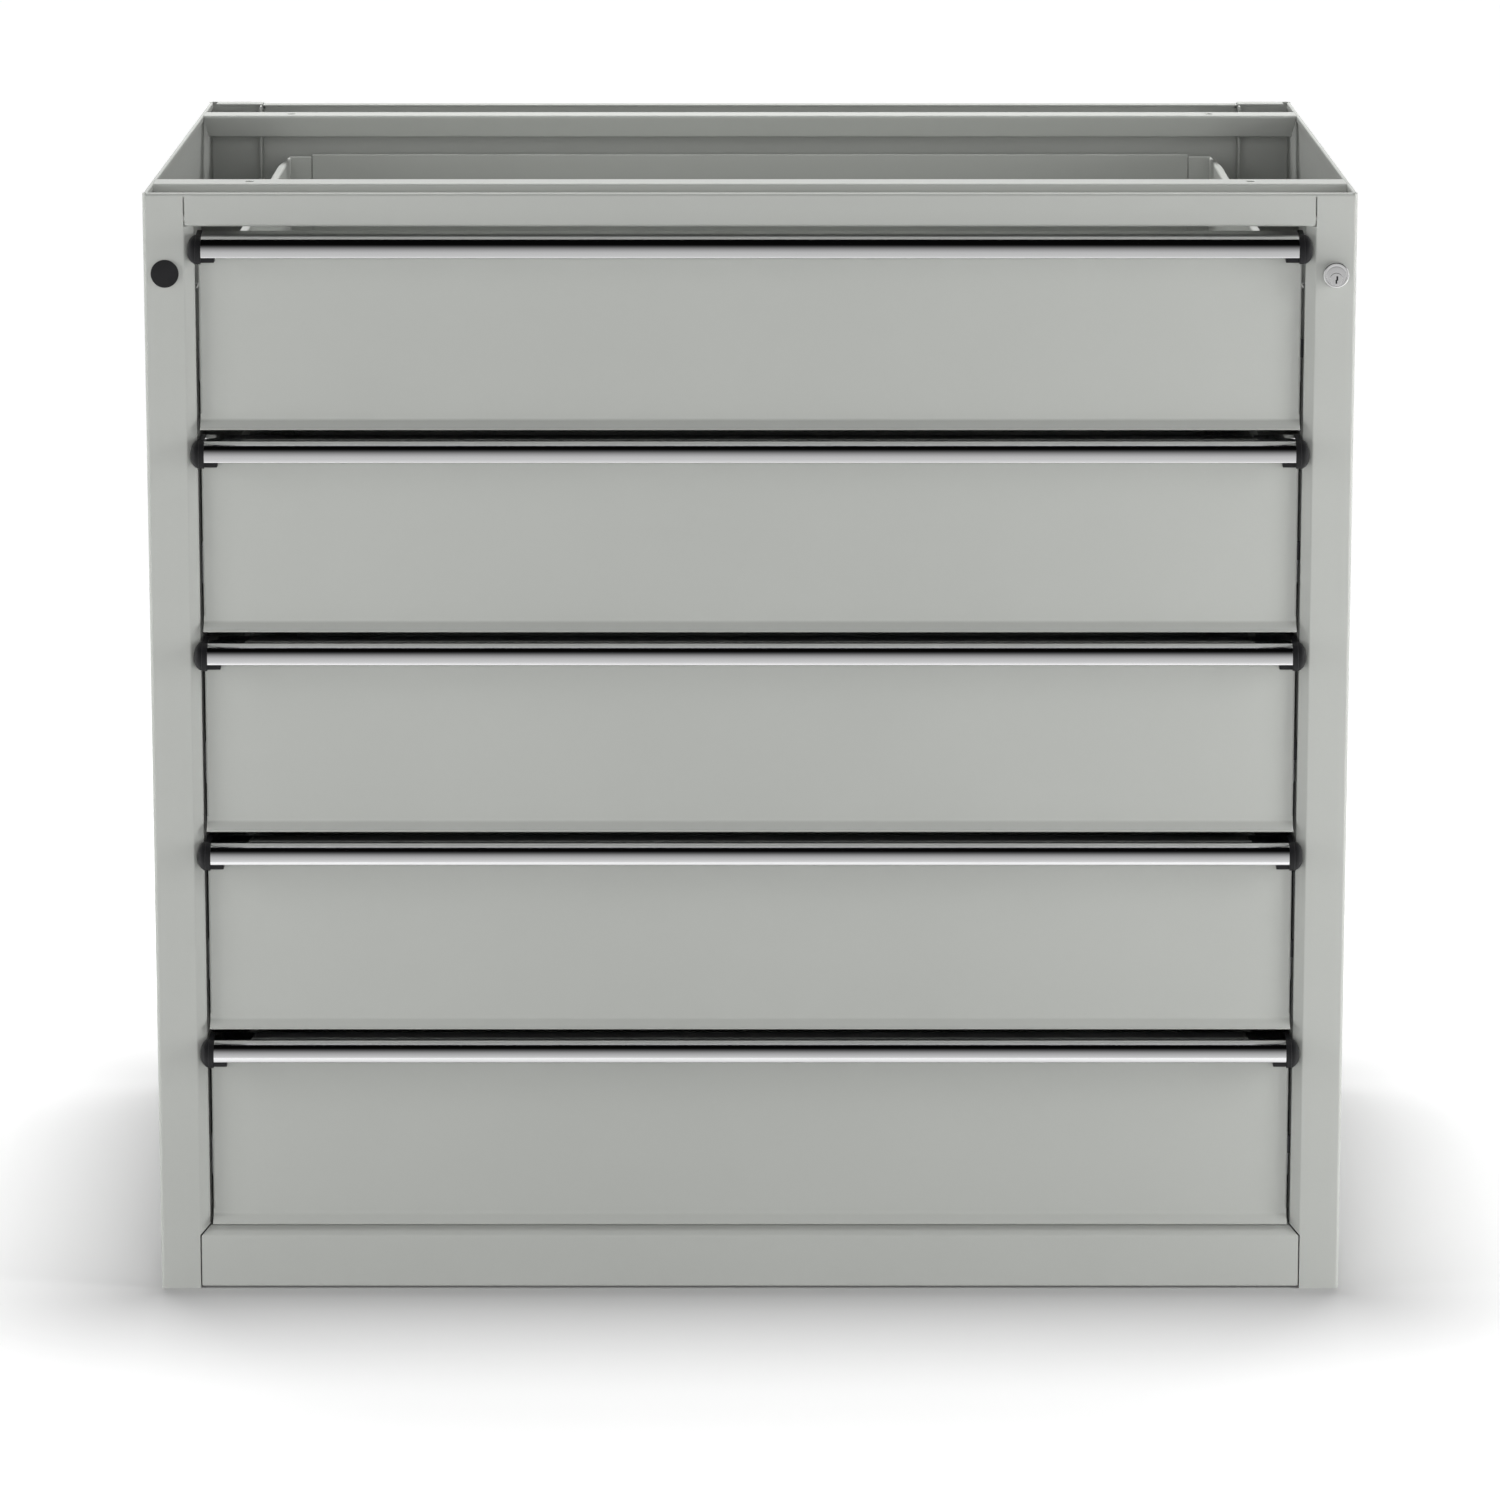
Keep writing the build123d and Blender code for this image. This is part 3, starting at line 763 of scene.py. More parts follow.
def dress_nodes(names: Sequence[str], finish: Finish, edge: float) -> None:
    """Give plain inner pieces their finish and softened edges.

    Args:
        names: CAD nodes that stay as they are.
        finish: their finish.
        edge: width of the softened edges.
    """
    for name in names:
        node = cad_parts[name]
        node.data.materials.clear()
        node.data.materials.append(finish.material())
        weld = node.modifiers.new("merge", "WELD")
        weld.merge_threshold = 10 * WELD_DISTANCE
        soften = node.modifiers.new("soften", "BEVEL")
        soften.width = edge * METRES
        soften.segments = 2
        soften.limit_method = "ANGLE"
        soften.angle_limit = SHARP_ANGLE
        LOG.info("%s keeps its form", name)


@dataclass
class Carcass:
    """Bent-sheet carcass: two sides with their stiles, back, rails and plinth."""

    finishes: Palette
    half: float = field(init=False)
    height: float = field(init=False)
    depth: float = field(init=False)
    sheet: float = 1.5
    bend: float = 2.5
    edge_bend: float = 3.0
    crisp_bend: float = 1.6
    crisp_edge: float = 0.1
    soft_edge: float = 0.3
    seam: float = 0.5
    stile: float = 31.0
    bevel: float = 7.0
    stile_return: float = 6.0
    top_lip: float = 6.0
    top_rail_drop: float = 25.0
    trough: float = 63.0
    worktop_flange: float = 28.0
    hem_height: float = 5.0
    hem_round: float = 0.2
    base_flange: float = 20.0
    rear_flange: float = 45.0
    rear_return: float = 27.0
    rear_tab: float = 38.5
    rear_tab_depth: float = 16.0
    rear_rail: float = 538.0
    rear_rail_drop: float = 19.0
    rear_rail_lean: float = 15.0
    rear_rail_notch: float = 3.0
    back_drop: float = 1.0
    back_lip: float = 16.0
    plinth_clearance: float = 1.5
    plinth_face: float = 42.0
    plinth_return: float = 30.0
    upright_front: float = 26.0
    worktop_hole_x: float = 380.0
    worktop_hole_r: float = 3.5
    step: float = 0.02

    def __post_init__(self) -> None:
        """Measure the side panel and the back panel of the frame."""
        _, (self.half, _, self.height) = box_mm("right_side_panel")
        self.depth = box_mm("back_panel")[1][1] - FRONT

    def build(self) -> None:
        """Build every piece of the carcass."""
        self.side_panels()
        self.back_panel()
        self.front_top_rail()
        self.rear_top_rail()
        self.front_plinth_rail()
        uprights = [f"{side}_{place}_upright" for side in ("left", "right") for place in ("front", "rear")]
        dress_nodes([*uprights, "floor_panel"], self.finishes.paint, self.soft_edge)

    @property
    def back(self) -> float:
        """Depth of the rear face of the sides, where the back panel lies."""
        return self.depth - self.sheet

    @property
    def stile_edge(self) -> float:
        """Half width between the flat faces of the stiles."""
        return self.half - self.stile

    @property
    def rear_edge(self) -> float:
        """Half width between the channels at the back of the sides."""
        return self.half - self.rear_flange

    def piece(self, name: str, node: str) -> Piece:
        """Start a painted piece of the carcass that stands for one of its nodes."""
        return Piece(name, "cabinet", self.finishes.paint, (node,))

    def half_length(self, section: Array) -> Array:
        """Half length of a front rail: a seam clear of the bevelled stiles."""
        return self.stile_edge - self.seam - np.clip(section[:, 0], 0, self.bevel)

    def side_top(self, section: Array) -> Array:
        """Top of the side sheet: low under the side's hem, the tab of the rear channel and the lip in front.

        Args:
            section: points of the sheet's section.

        Returns:
            The height at each point.
        """
        x, depth = section[:, 0], section[:, 1]
        beside_ends = (depth > self.top_lip) & (depth < self.back - self.top_lip)
        hemmed = (x > self.half - 2 * self.sheet) & beside_ends
        tabbed = (x < self.rear_edge + self.rear_tab) & (depth > self.back / 2)
        lipped = (x < self.half - self.edge_bend + self.step) & (depth < self.back / 2)
        return self.height - np.where(hemmed | tabbed, self.sheet, np.where(lipped, self.edge_bend, 0))

    def side_panels(self) -> None:
        """Sides: one sheet each with a rear channel, bevelled stile and return, and a hem along the top."""
        sheet, half, height, back, step = self.sheet, self.half, self.height, self.back, self.step
        opening = self.stile_edge - self.bevel
        tab_end = self.rear_edge + self.rear_tab
        path = [
            (self.rear_edge, back - self.rear_return),
            (self.rear_edge, back),
            (tab_end - step, back),
            (tab_end + step, back),
            (half, back),
            (half, back - self.top_lip + step),
            (half, back - self.top_lip - step),
            (half, self.top_lip + step),
            (half, self.top_lip - step),
            (half, 0),
            (self.stile_edge, 0),
            (opening, self.bevel),
            (opening, self.bevel + self.stile_return),
        ]
        bends = [self.bend, 0, 0, self.edge_bend, 0, 0, 0, 0, self.edge_bend, self.bend, self.bend]
        wall = bent_sheet(path, bends, sheet, Run.UPRIGHT, (0, self.side_top), edge=BUTT_ROUND)
        fold = arc((half - sheet, height - sheet), sheet, 0, math.pi, 2 * BEND_STEPS)
        inner, low = half - sheet + step, height - self.hem_height
        leaf = [(half - 2 * sheet, low), (inner, low), (inner, height - sheet)]
        hem_span = (self.top_lip, back - self.top_lip)
        hem = slab(np.vstack([fold, leaf]), Run.BACKWARD, hem_span, self.hem_round)
        lip_path = [(self.top_lip, height), (0, height), (0, height - 2 * self.edge_bend)]
        lip_x = (self.stile_edge + self.bend, half - self.edge_bend)
        lip = bent_sheet(lip_path, [self.bend], sheet, Run.ACROSS, lip_x, left=True, edge=BUTT_ROUND)
        foot_x = (half - sheet - self.base_flange, half - sheet)
        foot = rounded_box(foot_x, (self.base_flange, back - self.base_flange), (0, sheet))
        tab_depth = (back - self.rear_tab_depth, back)
        tab = rounded_box((self.rear_edge, tab_end), tab_depth, (height - sheet, height))
        for side, facing in (("right", Shell.outward), ("left", Shell.mirrored)):
            notches = [facing(notch) for notch in self.stile_notches()]
            piece = self.piece(f"{side}_side", f"{side}_side_panel")
            piece.add(*map(facing, (wall, hem, lip, foot, tab))).write(notches)

    def stile_notches(self) -> list[Shell]:
        """What is cut from the bevel of the right stile where the top rail and the mitred plinth end.

        Returns:
            The two cutters.
        """
        edge = self.stile_edge + self.seam
        inner = self.stile_edge - 2 * self.bevel
        low, high = self.height - self.top_rail_drop - self.seam, self.height + OVERSHOOT
        rail_end = [(inner, low), (edge, low), (edge, high), (inner, high)]
        mitre = self.plinth_face + self.seam
        plinth_end = [(inner, -OVERSHOOT), (edge, -OVERSHOOT), (edge, mitre), (inner, mitre + edge - inner)]
        span = (-OVERSHOOT, self.bevel + self.stile_return + OVERSHOOT)
        return [slab(np.array(end), Run.BACKWARD, span, CUTTER_ROUND) for end in (rail_end, plinth_end)]

    def back_panel(self) -> None:
        """Rear sheet with a lip turned forward along its top."""
        top = self.height - self.back_drop
        half, rear = self.half - self.sheet, (self.back, self.depth)
        outline = rounded_outline([(-half, rear[0]), (half, rear[0]), (half, rear[1]), (-half, rear[1])],
                                  [END_ROUND] * 4)
        plate = slab(outline, Run.UPRIGHT, (self.plinth_clearance, top - self.bend), BUTT_ROUND)
        lip_path = [(self.depth - self.back_lip, top), (self.depth, top),
                    (self.depth, top - self.bend - END_ROUND)]
        lip_half = self.rear_edge - self.seam
        lip = bent_sheet(lip_path, [self.bend], self.sheet, Run.ACROSS, both_ways(lip_half))
        ends = rounded_box((lip_half - self.sheet, half), rear, (top - 2 * self.bend, top))
        self.piece("rear_panel", "back_panel").add(plate, lip).add_pair(ends).write()

    def worktop_holes(self, flange: float) -> list[Shell]:
        """Two holes through the middle of a worktop flange.

        Args:
            flange: depth at which the flange starts.

        Returns:
            The two cutters.
        """
        middle = (self.worktop_hole_x, flange + self.worktop_flange / 2)
        circle = arc(middle, self.worktop_hole_r, 0, 2 * math.pi, 4 * BEND_STEPS)[:-1]
        span = (self.height - 2 * self.sheet, self.height + 2 * self.sheet)
        drill = slab(circle, Run.UPRIGHT, span, CUTTER_ROUND)
        return [drill, drill.mirrored()]

    def front_top_rail(self) -> None:
        """Front rail: lip, face, trough, inner wall and the flange under the worktop, in one sheet."""
        low, flange = self.height - self.top_rail_drop, self.height - self.sheet
        lip = self.height - self.edge_bend
        path = [
            (self.top_lip, self.height),
            (0, self.height),
            (0, lip + self.step),
            (0, lip - self.step),
            (0, low),
            (self.bevel, low),
            (self.upright_front - self.step, low),
            (self.upright_front + self.step, low),
            (self.trough, low),
            (self.trough, flange),
            (self.trough + self.worktop_flange, flange),
        ]
        bends = [self.bend, 0, 0, self.bend, 0, 0, 0, self.crisp_bend, self.crisp_bend / 2]

        def reach(section: Array) -> Array:
            """Half length: over the stiles at the lip, between them below, between the sides behind."""
            ahead = np.where(section[:, 1] > lip, self.stile_edge + self.bend, self.half_length(section))
            return np.where(section[:, 0] > self.upright_front, self.half - 2 * self.sheet, ahead)

        span = both_ways(reach)
        rail = bent_sheet(path, bends, self.sheet, Run.ACROSS, span, left=True, edge=self.crisp_edge)
        self.piece("front_rail", "front_top_rail").add(rail).write(self.worktop_holes(self.trough))

    def rear_top_rail(self) -> None:
        """Channel between the sides: a flange for the back of the worktop over a wall that leans back."""
        low = self.height - self.rear_rail_drop
        back = self.rear_rail + self.worktop_flange
        wall = self.rear_rail + self.rear_rail_lean
        path = [(back, self.height), (self.rear_rail, self.height), (wall, low), (back, low)]

        def reach(section: Array) -> Array:
            """Half length: between the sides under the worktop, notched below the bend."""
            notched = section[:, 1] < self.height - self.sheet - self.bend
            return self.half - 2 * self.sheet - np.where(notched, self.rear_rail_notch, 0)

        bends = [self.crisp_bend, self.bend]
        rail = bent_sheet(path, bends, self.sheet, Run.ACROSS, both_ways(reach), left=True)
        self.piece("rear_rail", "rear_top_rail").add(rail).write(self.worktop_holes(self.rear_rail))

    def front_plinth_rail(self) -> None:
        """Plinth with a bevelled top edge, mitred against the bevels of the stiles."""
        low, top = self.plinth_clearance, self.plinth_face + self.bevel
        path = [(self.plinth_return / 2, low), (0, low), (0, self.plinth_face), (self.bevel, top),
                (self.plinth_return, top)]
        bends = [self.crisp_bend, self.bend, self.bend]
        span = both_ways(self.half_length)
        rail = bent_sheet(path, bends, self.sheet, Run.ACROSS, span, edge=self.crisp_edge)
        self.piece("plinth", "front_plinth_rail").add(rail).write()


@dataclass(frozen=True)
class Roller:
    """Roller with a crowned tread and a dished hub."""

    radius: float = 15.1
    width: float = 9.5
    bore: float = 4.1
    hub: float = 7.0
    web: float = 12.0
    dish: float = 1.2
    edge: float = 0.8
    segments: int = 40

    def at(self, x: float, depth: float, z: float) -> Shell:
        """The roller's surface, turned about an axis along x.

        Args:
            x: place of its left face.
            depth: depth of its axis.
            z: height of its axis.

        Returns:
            The closed surface.
        """
        tread = rounded_rim(self.radius, 0, self.edge, 1)
        tread += rounded_rim(self.radius, self.width, self.edge, -1)[::-1]
        face = [(self.bore, 0), (self.hub, 0), (self.hub, self.dish), (self.web, self.dish), (self.web, 0)]
        other = [(radius, self.width - along) for radius, along in reversed(face)]
        return turned([*face, *tread, *other, face[0]], (x, depth, z), (1, 0, 0), self.segments)


@dataclass
class Drawer:
    """One drawer: tray, front, grip with end caps, and its roller slides."""

    number: int
    finishes: Palette
    body: str = field(init=False)
    bay_top: float = field(init=False)
    sheet: float = 1.2
    bend: float = 2.0
    soft_edge: float = 0.3
    clearance: float = 0.3
    front_half: float = 414.5
    recess: float = 7.0
    front_top: float = 8.0
    front_return: float = 7.5
    face_overlap: float = 4.0
    face_edge: float = 0.02
    pitch: float = 155.0
    lip_height: float = 6.5
    lip_gap: float = 1.5
    lip_bend: float = 3.0
    tray_half: float = 382.5
    tray_drop: float = 152.6
    tray_back: float = 572.0
    tray_return: float = 18.0
    corner_slit: float = 0.9
    back_rise: float = 1.8
    rim_width: float = 6.5
    rim_lip: float = 10.0
    rim_drop: float = 13.0
    rim_taper: float = 97.0
    rail_half: float = 411.0
    rail_back: Point = (16.0, -5.0)
    rail_shoulder: Point = (-2.0, -7.2)
    rail_radius: float = 11.27
    rail_crown: float = 18.0
    rail_turn: float = math.radians(131)
    rail_wall: float = 1.6
    rail_lip: float = -21.9
    rail_leg: float = -19.0
    rail_steps: int = 12
    cap_flange: float = 415.3
    cap_tip: float = 422.0
    cap_widest: float = 0.62
    cap_back: float = 13.5
    cap_top: float = -4.2
    cap_bottom: float = -27.0
    cap_slope: float = 1.9
    cap_cheek: Point = (-9.6, -11.6)
    cap_nose: Point = (-12.4, -19.5)
    cap_chin: float = 3.0
    cap_edge: float = 0.7
    cap_foot: float = 10.0
    cap_foot_depth: Point = (-10.5, -1.5)
    cap_foot_rise: float = 1.0
    cheek_steps: int = 20
    dome_rings: int = 33
    dome_steps: int = 14
    dome_power: float = 0.8
    slide_drop: float = 105.0
    slide_half: float = 17.0
    slide_sheet: float = 1.5
    slide_bend: float = 2.5
    roller: Roller = Roller()
    roller_play: float = 0.5
    carriage_plate: Point = (402.0, 404.0)
    outer_rollers: Point = (350.0, 540.0)
    inner_rollers: Point = (80.0, 270.0)

    def __post_init__(self) -> None:
        """Read the top of the drawer's bay from the frame."""
        self.body = f"drawer_{self.number}"
        self.bay_top = box_mm(f"{self.body}_front")[1][2] + self.front_top

    def build(self) -> None:
        """Build every piece of the drawer."""
        self.front()
        self.tray()
        self.grip()
        self.end_caps()
        self.slides()
        self.rollers()
        dress_nodes([f"{self.body}_carriages"], self.finishes.zinc, self.soft_edge)
        # The lock catch takes the darkened zinc: painted shade in the gap beside the drawer.
        dress_nodes([f"{self.body}_lock_catch"], self.finishes.shade_darkened_zinc, self.soft_edge)

    def piece(self, name: str, finish: Finish, node: str, body: str = "") -> Piece:
        """Start a piece of the drawer that stands for one of its nodes."""
        return Piece(f"{self.body}_{name}", body or self.body, finish, (f"{self.body}_{node}",))

    def front(self) -> None:
        """Front panel: a face with edges bent back at the sides and the top, and a lip flared out below."""
        top = self.bay_top - self.front_top
        lip_end = self.bay_top - self.pitch + self.lip_gap
        lip_start = lip_end + self.lip_height
        face, back, half = self.recess, self.recess + self.front_return, self.front_half
        pan_path = [(-half, back), (-half, face), (half, face), (half, back)]
        pan_z = (lip_start + self.face_overlap, top - self.face_overlap)
        pan = bent_sheet(pan_path, [self.bend] * 2, self.sheet, Run.UPRIGHT, pan_z, left=True,
                         edge=self.face_edge)
        top_path = [(back, top), (face, top), (face, pan_z[1] - END_ROUND)]
        top_span = both_ways(half - self.bend)
        fold = bent_sheet(top_path, [self.bend], self.sheet, Run.ACROSS, top_span, left=True)
        lip_path = [(face, pan_z[0] + END_ROUND), (face, lip_start), (face - self.lip_height, lip_end)]
        lip = bent_sheet(lip_path, [self.lip_bend], self.sheet, Run.ACROSS, both_ways(half), left=True)
        self.piece("panel", self.finishes.paint, "front").add(pan, fold, lip).write()

    def tray(self) -> None:
        """Tray: floor, walls and folded rims bent from one sheet, with a front wall, a back and returns."""
        half, sheet = self.tray_half, self.sheet
        floor, rim = self.bay_top - self.tray_drop, self.bay_top - self.rim_drop
        start, wall, outer = self.recess + sheet, half + sheet, half + self.rim_width
        right = [(half, floor + sheet), (half, rim), (outer, rim), (outer, rim - self.rim_lip)]
        path = [(-x, z) for x, z in reversed(right)] + right
        trough = bent_sheet(path, [self.bend] * 6, sheet, Run.BACKWARD, (start, self.tray_back))
        face = rounded_box((-wall, wall), (start, start + sheet), (floor, rim))
        rear = (self.tray_back, self.tray_back + sheet)
        inner = half - self.tray_return
        back = rounded_box((-inner, inner), rear, (floor, rim + self.back_rise))
        fold = rounded_box((inner + self.corner_slit, wall), rear, (floor, rim))
        outside, behind = outer + OVERSHOOT, rear[1] + OVERSHOOT
        taper = np.array([(outside, rear[1] - self.rim_taper), (outside, behind), (wall, behind),
                          (wall, rear[1] - self.rim_width)])
        trim = slab(taper, Run.UPRIGHT, (rim - self.rim_lip - OVERSHOOT, rim + OVERSHOOT), CUTTER_ROUND)
        piece = self.piece("box", self.finishes.paint, "tray")
        piece.add(trough, face, back).add_pair(fold).write([trim, trim.mirrored()])

    def arch_centre(self) -> Point:
        """Centre of the grip's arch, square below the shoulder of its sloping top.

        Returns:
            Its depth and its height from the bay's top.
        """
        run = self.rail_back[0] - self.rail_shoulder[0], self.rail_back[1] - self.rail_shoulder[1]
        slope = math.atan2(run[1], run[0])
        across = self.rail_shoulder[0] + self.rail_radius * math.sin(slope)
        return across, self.rail_shoulder[1] - self.rail_radius * math.cos(slope)

    def grip(self) -> None:
        """Arched grip: a flat top that turns into a crown and an arch, a rounded lip, and a leg on the panel.

        The crown and the arch touch where both have the same normal, so the crown's centre lies behind the
        arch's, by the difference of the radii along that normal. The flat top touches the crown.
        """
        centre = self.arch_centre()
        outer, inner = self.rail_radius, self.rail_radius - self.rail_wall
        drop = self.rail_crown - outer
        crown = (centre[0] - drop * math.cos(self.rail_turn), centre[1] - drop * math.sin(self.rail_turn))
        behind = self.rail_back[0] - crown[0], self.rail_back[1] - crown[1]
        top = math.atan2(behind[1], behind[0]) + math.acos(self.rail_crown / math.hypot(*behind))
        lip = math.pi + math.asin((centre[1] - self.rail_lip) / outer)
        middle = (outer + inner) / 2
        lip_centre = (centre[0] + middle * math.cos(lip), centre[1] + middle * math.sin(lip))
        leg, steps = self.recess - self.rail_wall, self.rail_steps
        outline = np.vstack([
            arc(crown, self.rail_crown, top, self.rail_turn, 2 * steps)[:-1],
            arc(centre, outer, self.rail_turn, lip, 3 * steps),
            arc(lip_centre, self.rail_wall / 2, lip, lip + math.pi, BEND_STEPS)[1:-1],
            arc(centre, inner, lip, self.rail_turn, 2 * steps)[:-1],
            arc(crown, self.rail_crown - self.rail_wall, self.rail_turn, top, steps),
            [(leg, -self.front_top), (leg, self.rail_leg), (self.recess, self.rail_leg),
             (self.recess, -self.front_top), (self.rail_back[0], self.rail_back[1] - self.rail_wall),
             self.rail_back],
        ])
        rail = slab(outline + (0, self.bay_top), Run.ACROSS, both_ways(self.rail_half), BUTT_ROUND)
        self.piece("grip", self.finishes.rail, "handle_rail").add(rail).write()

    def cap_outline(self) -> Array:
        """Outline of a cap's flange: seat, top, a cheek that follows the grip, and a rounded chin.

        Returns:
            Points in depth and height from the bay's top.
        """
        seat, top = self.recess - self.clearance, -self.front_top + self.clearance
        shoulder = (self.rail_shoulder[0], self.cap_top - self.cap_slope)
        centre, radius = circle_through(shoulder, self.cap_cheek, self.cap_nose)
        angles = [math.atan2(z - centre[1], depth - centre[0]) % (2 * math.pi)
                  for depth, z in (shoulder, self.cap_nose)]
        cheek = arc(centre, radius, *angles, self.cheek_steps)
        turn = np.linspace(0, QUARTER, BEND_STEPS)[1:, None]
        size = np.array([self.cap_chin, self.cap_nose[1] - self.cap_bottom])
        chin = np.array([self.cap_nose[0] + self.cap_chin, self.cap_nose[1]])
        chin = chin - np.hstack([np.cos(turn), np.sin(turn)]) * size
        corners = [(seat, self.cap_bottom), (seat, top), (self.cap_back, top), (self.cap_back, self.cap_top)]
        return np.vstack([cheek, chin, corners])

    def end_caps(self) -> None:
        """End caps: a flange round the end of the grip, a dome that is widest low down, and a foot below."""
        outline = self.cap_outline()
        lifted = outline + (0, self.bay_top)
        flange = slab(lifted, Run.ACROSS, (self.rail_half, self.cap_flange), self.cap_edge)
        inward = (self.rail_half - self.cap_foot, self.rail_half + self.cap_edge)
        foot_z = (self.bay_top + self.cap_bottom + self.cap_foot_rise,
                  self.bay_top + self.rail_lip - 2 * self.clearance)
        foot = rounded_box(inward, self.cap_foot_depth, foot_z, self.cap_edge)
        self.piece("caps", self.finishes.black, "end_caps").add_pair(flange, self.dome(outline), foot).write()

    def dome(self, outline: Array) -> Shell:
        """Dome of the right cap, in front of the stile.

        At a height it runs from the stile forward to just behind the flange's front, as a quarter of an oval:
        x = flange + b cos(a)^p and depth = d sin(a)^p. The bulge b follows the quarters of two ovals that
        meet where the dome is widest, below the middle.

        Args:
            outline: outline of the flange, below the bay's top.

        Returns:
            The closed surface.
        """
        top = self.cap_top - self.cap_slope
        share = (1 - np.cos(np.linspace(0, math.pi, self.dome_rings))) / 2
        quarter = np.where(share < self.cap_widest, self.cap_widest, 1 - self.cap_widest)
        bulge = np.sqrt(np.clip(1 - ((share - self.cap_widest) / quarter) ** 2, 0, 1))
        bulge *= self.cap_tip - self.cap_flange
        z = top - share * (top - self.cap_bottom)
        ahead = outline[np.argsort(outline[:, 1])]
        ahead = ahead[ahead[:, 0] < self.rail_shoulder[0] + self.clearance]
        reach = -np.interp(z, ahead[:, 1], ahead[:, 0]) - self.cap_edge
        angle = np.linspace(0, QUARTER, self.dome_steps)
        x = self.cap_flange + bulge[:, None] * np.cos(angle) ** self.dome_power
        forward = np.maximum(reach - self.clearance, 0)[:, None] * np.sin(angle) ** self.dome_power
        inside = np.full((len(z), 1), self.cap_flange - 2 * self.cap_edge)
        stile = np.full((len(z), 1), -self.clearance)
        depth = np.hstack([stile, stile - forward, stile - forward[:, -1:]])
        x = np.hstack([inside, x, inside])
        level = np.broadcast_to((z + self.bay_top)[:, None], x.shape)
        points = np.stack([x, FRONT + depth, level], axis=-1)
        return Shell.stacked(points, np.arange(x.shape[1])[None])

    def channel(self, node: str, web: float, edge: float, left: bool) -> Shell:
        """Right rail of a slide: a channel as long as a node of the frame.

        Args:
            node: the node whose length it takes.
            web: x of its web.
            edge: x at which its flanges end.
            left: on which side of the path its sheet lies.

        Returns:
            The closed surface.
        """
        low, high = box_mm(node)
        z = self.bay_top - self.slide_drop
        above, below = z + self.slide_half, z - self.slide_half
        path = [(edge, above), (web, above), (web, below), (edge, below)]
        span = (low[1] - FRONT, high[1] - FRONT)
        return bent_sheet(path, [self.slide_bend] * 2, self.slide_sheet, Run.BACKWARD, span, left=left)

    def slides(self) -> None:
        """Rails on the walls of the tray."""
        node = f"{self.body}_rails"
        rail = self.channel(node, self.tray_half + self.sheet, box_mm(node)[1][0], left=True)
        self.piece("slide_rails", self.finishes.zinc, "rails").add_pair(rail).write()

    def rollers(self) -> None:
        """Rollers on the studs of the carriages, outside and inside their plates."""
        outside = self.carriage_plate[1] + self.roller_play
        inside = self.carriage_plate[0] - self.roller_play - self.roller.width
        stations = [(outside, depth) for depth in self.outer_rollers]
        stations += [(inside, depth) for depth in self.inner_rollers]
        wheels = [self.roller.at(*station, self.bay_top - self.slide_drop) for station in stations]
        piece = self.piece("wheels", self.finishes.nylon, "rollers", f"{self.body}_carriage")
        piece.add_pair(*wheels).write()


@dataclass
class FixedSlides:
    """The ten fixed rails on the uprights."""

    drawers: Sequence[Drawer]
    inner: float = 404.5
    node: str = "cabinet_rails"

    def build(self) -> None:
        """Build the rails as one piece."""
        web = box_mm(self.node)[1][0]
        rails = [drawer.channel(self.node, web, self.inner, left=False) for drawer in self.drawers]
        piece = Piece("fixed_rails", "cabinet", self.drawers[0].finishes.zinc, (self.node,))
        piece.add_pair(*rails).write()


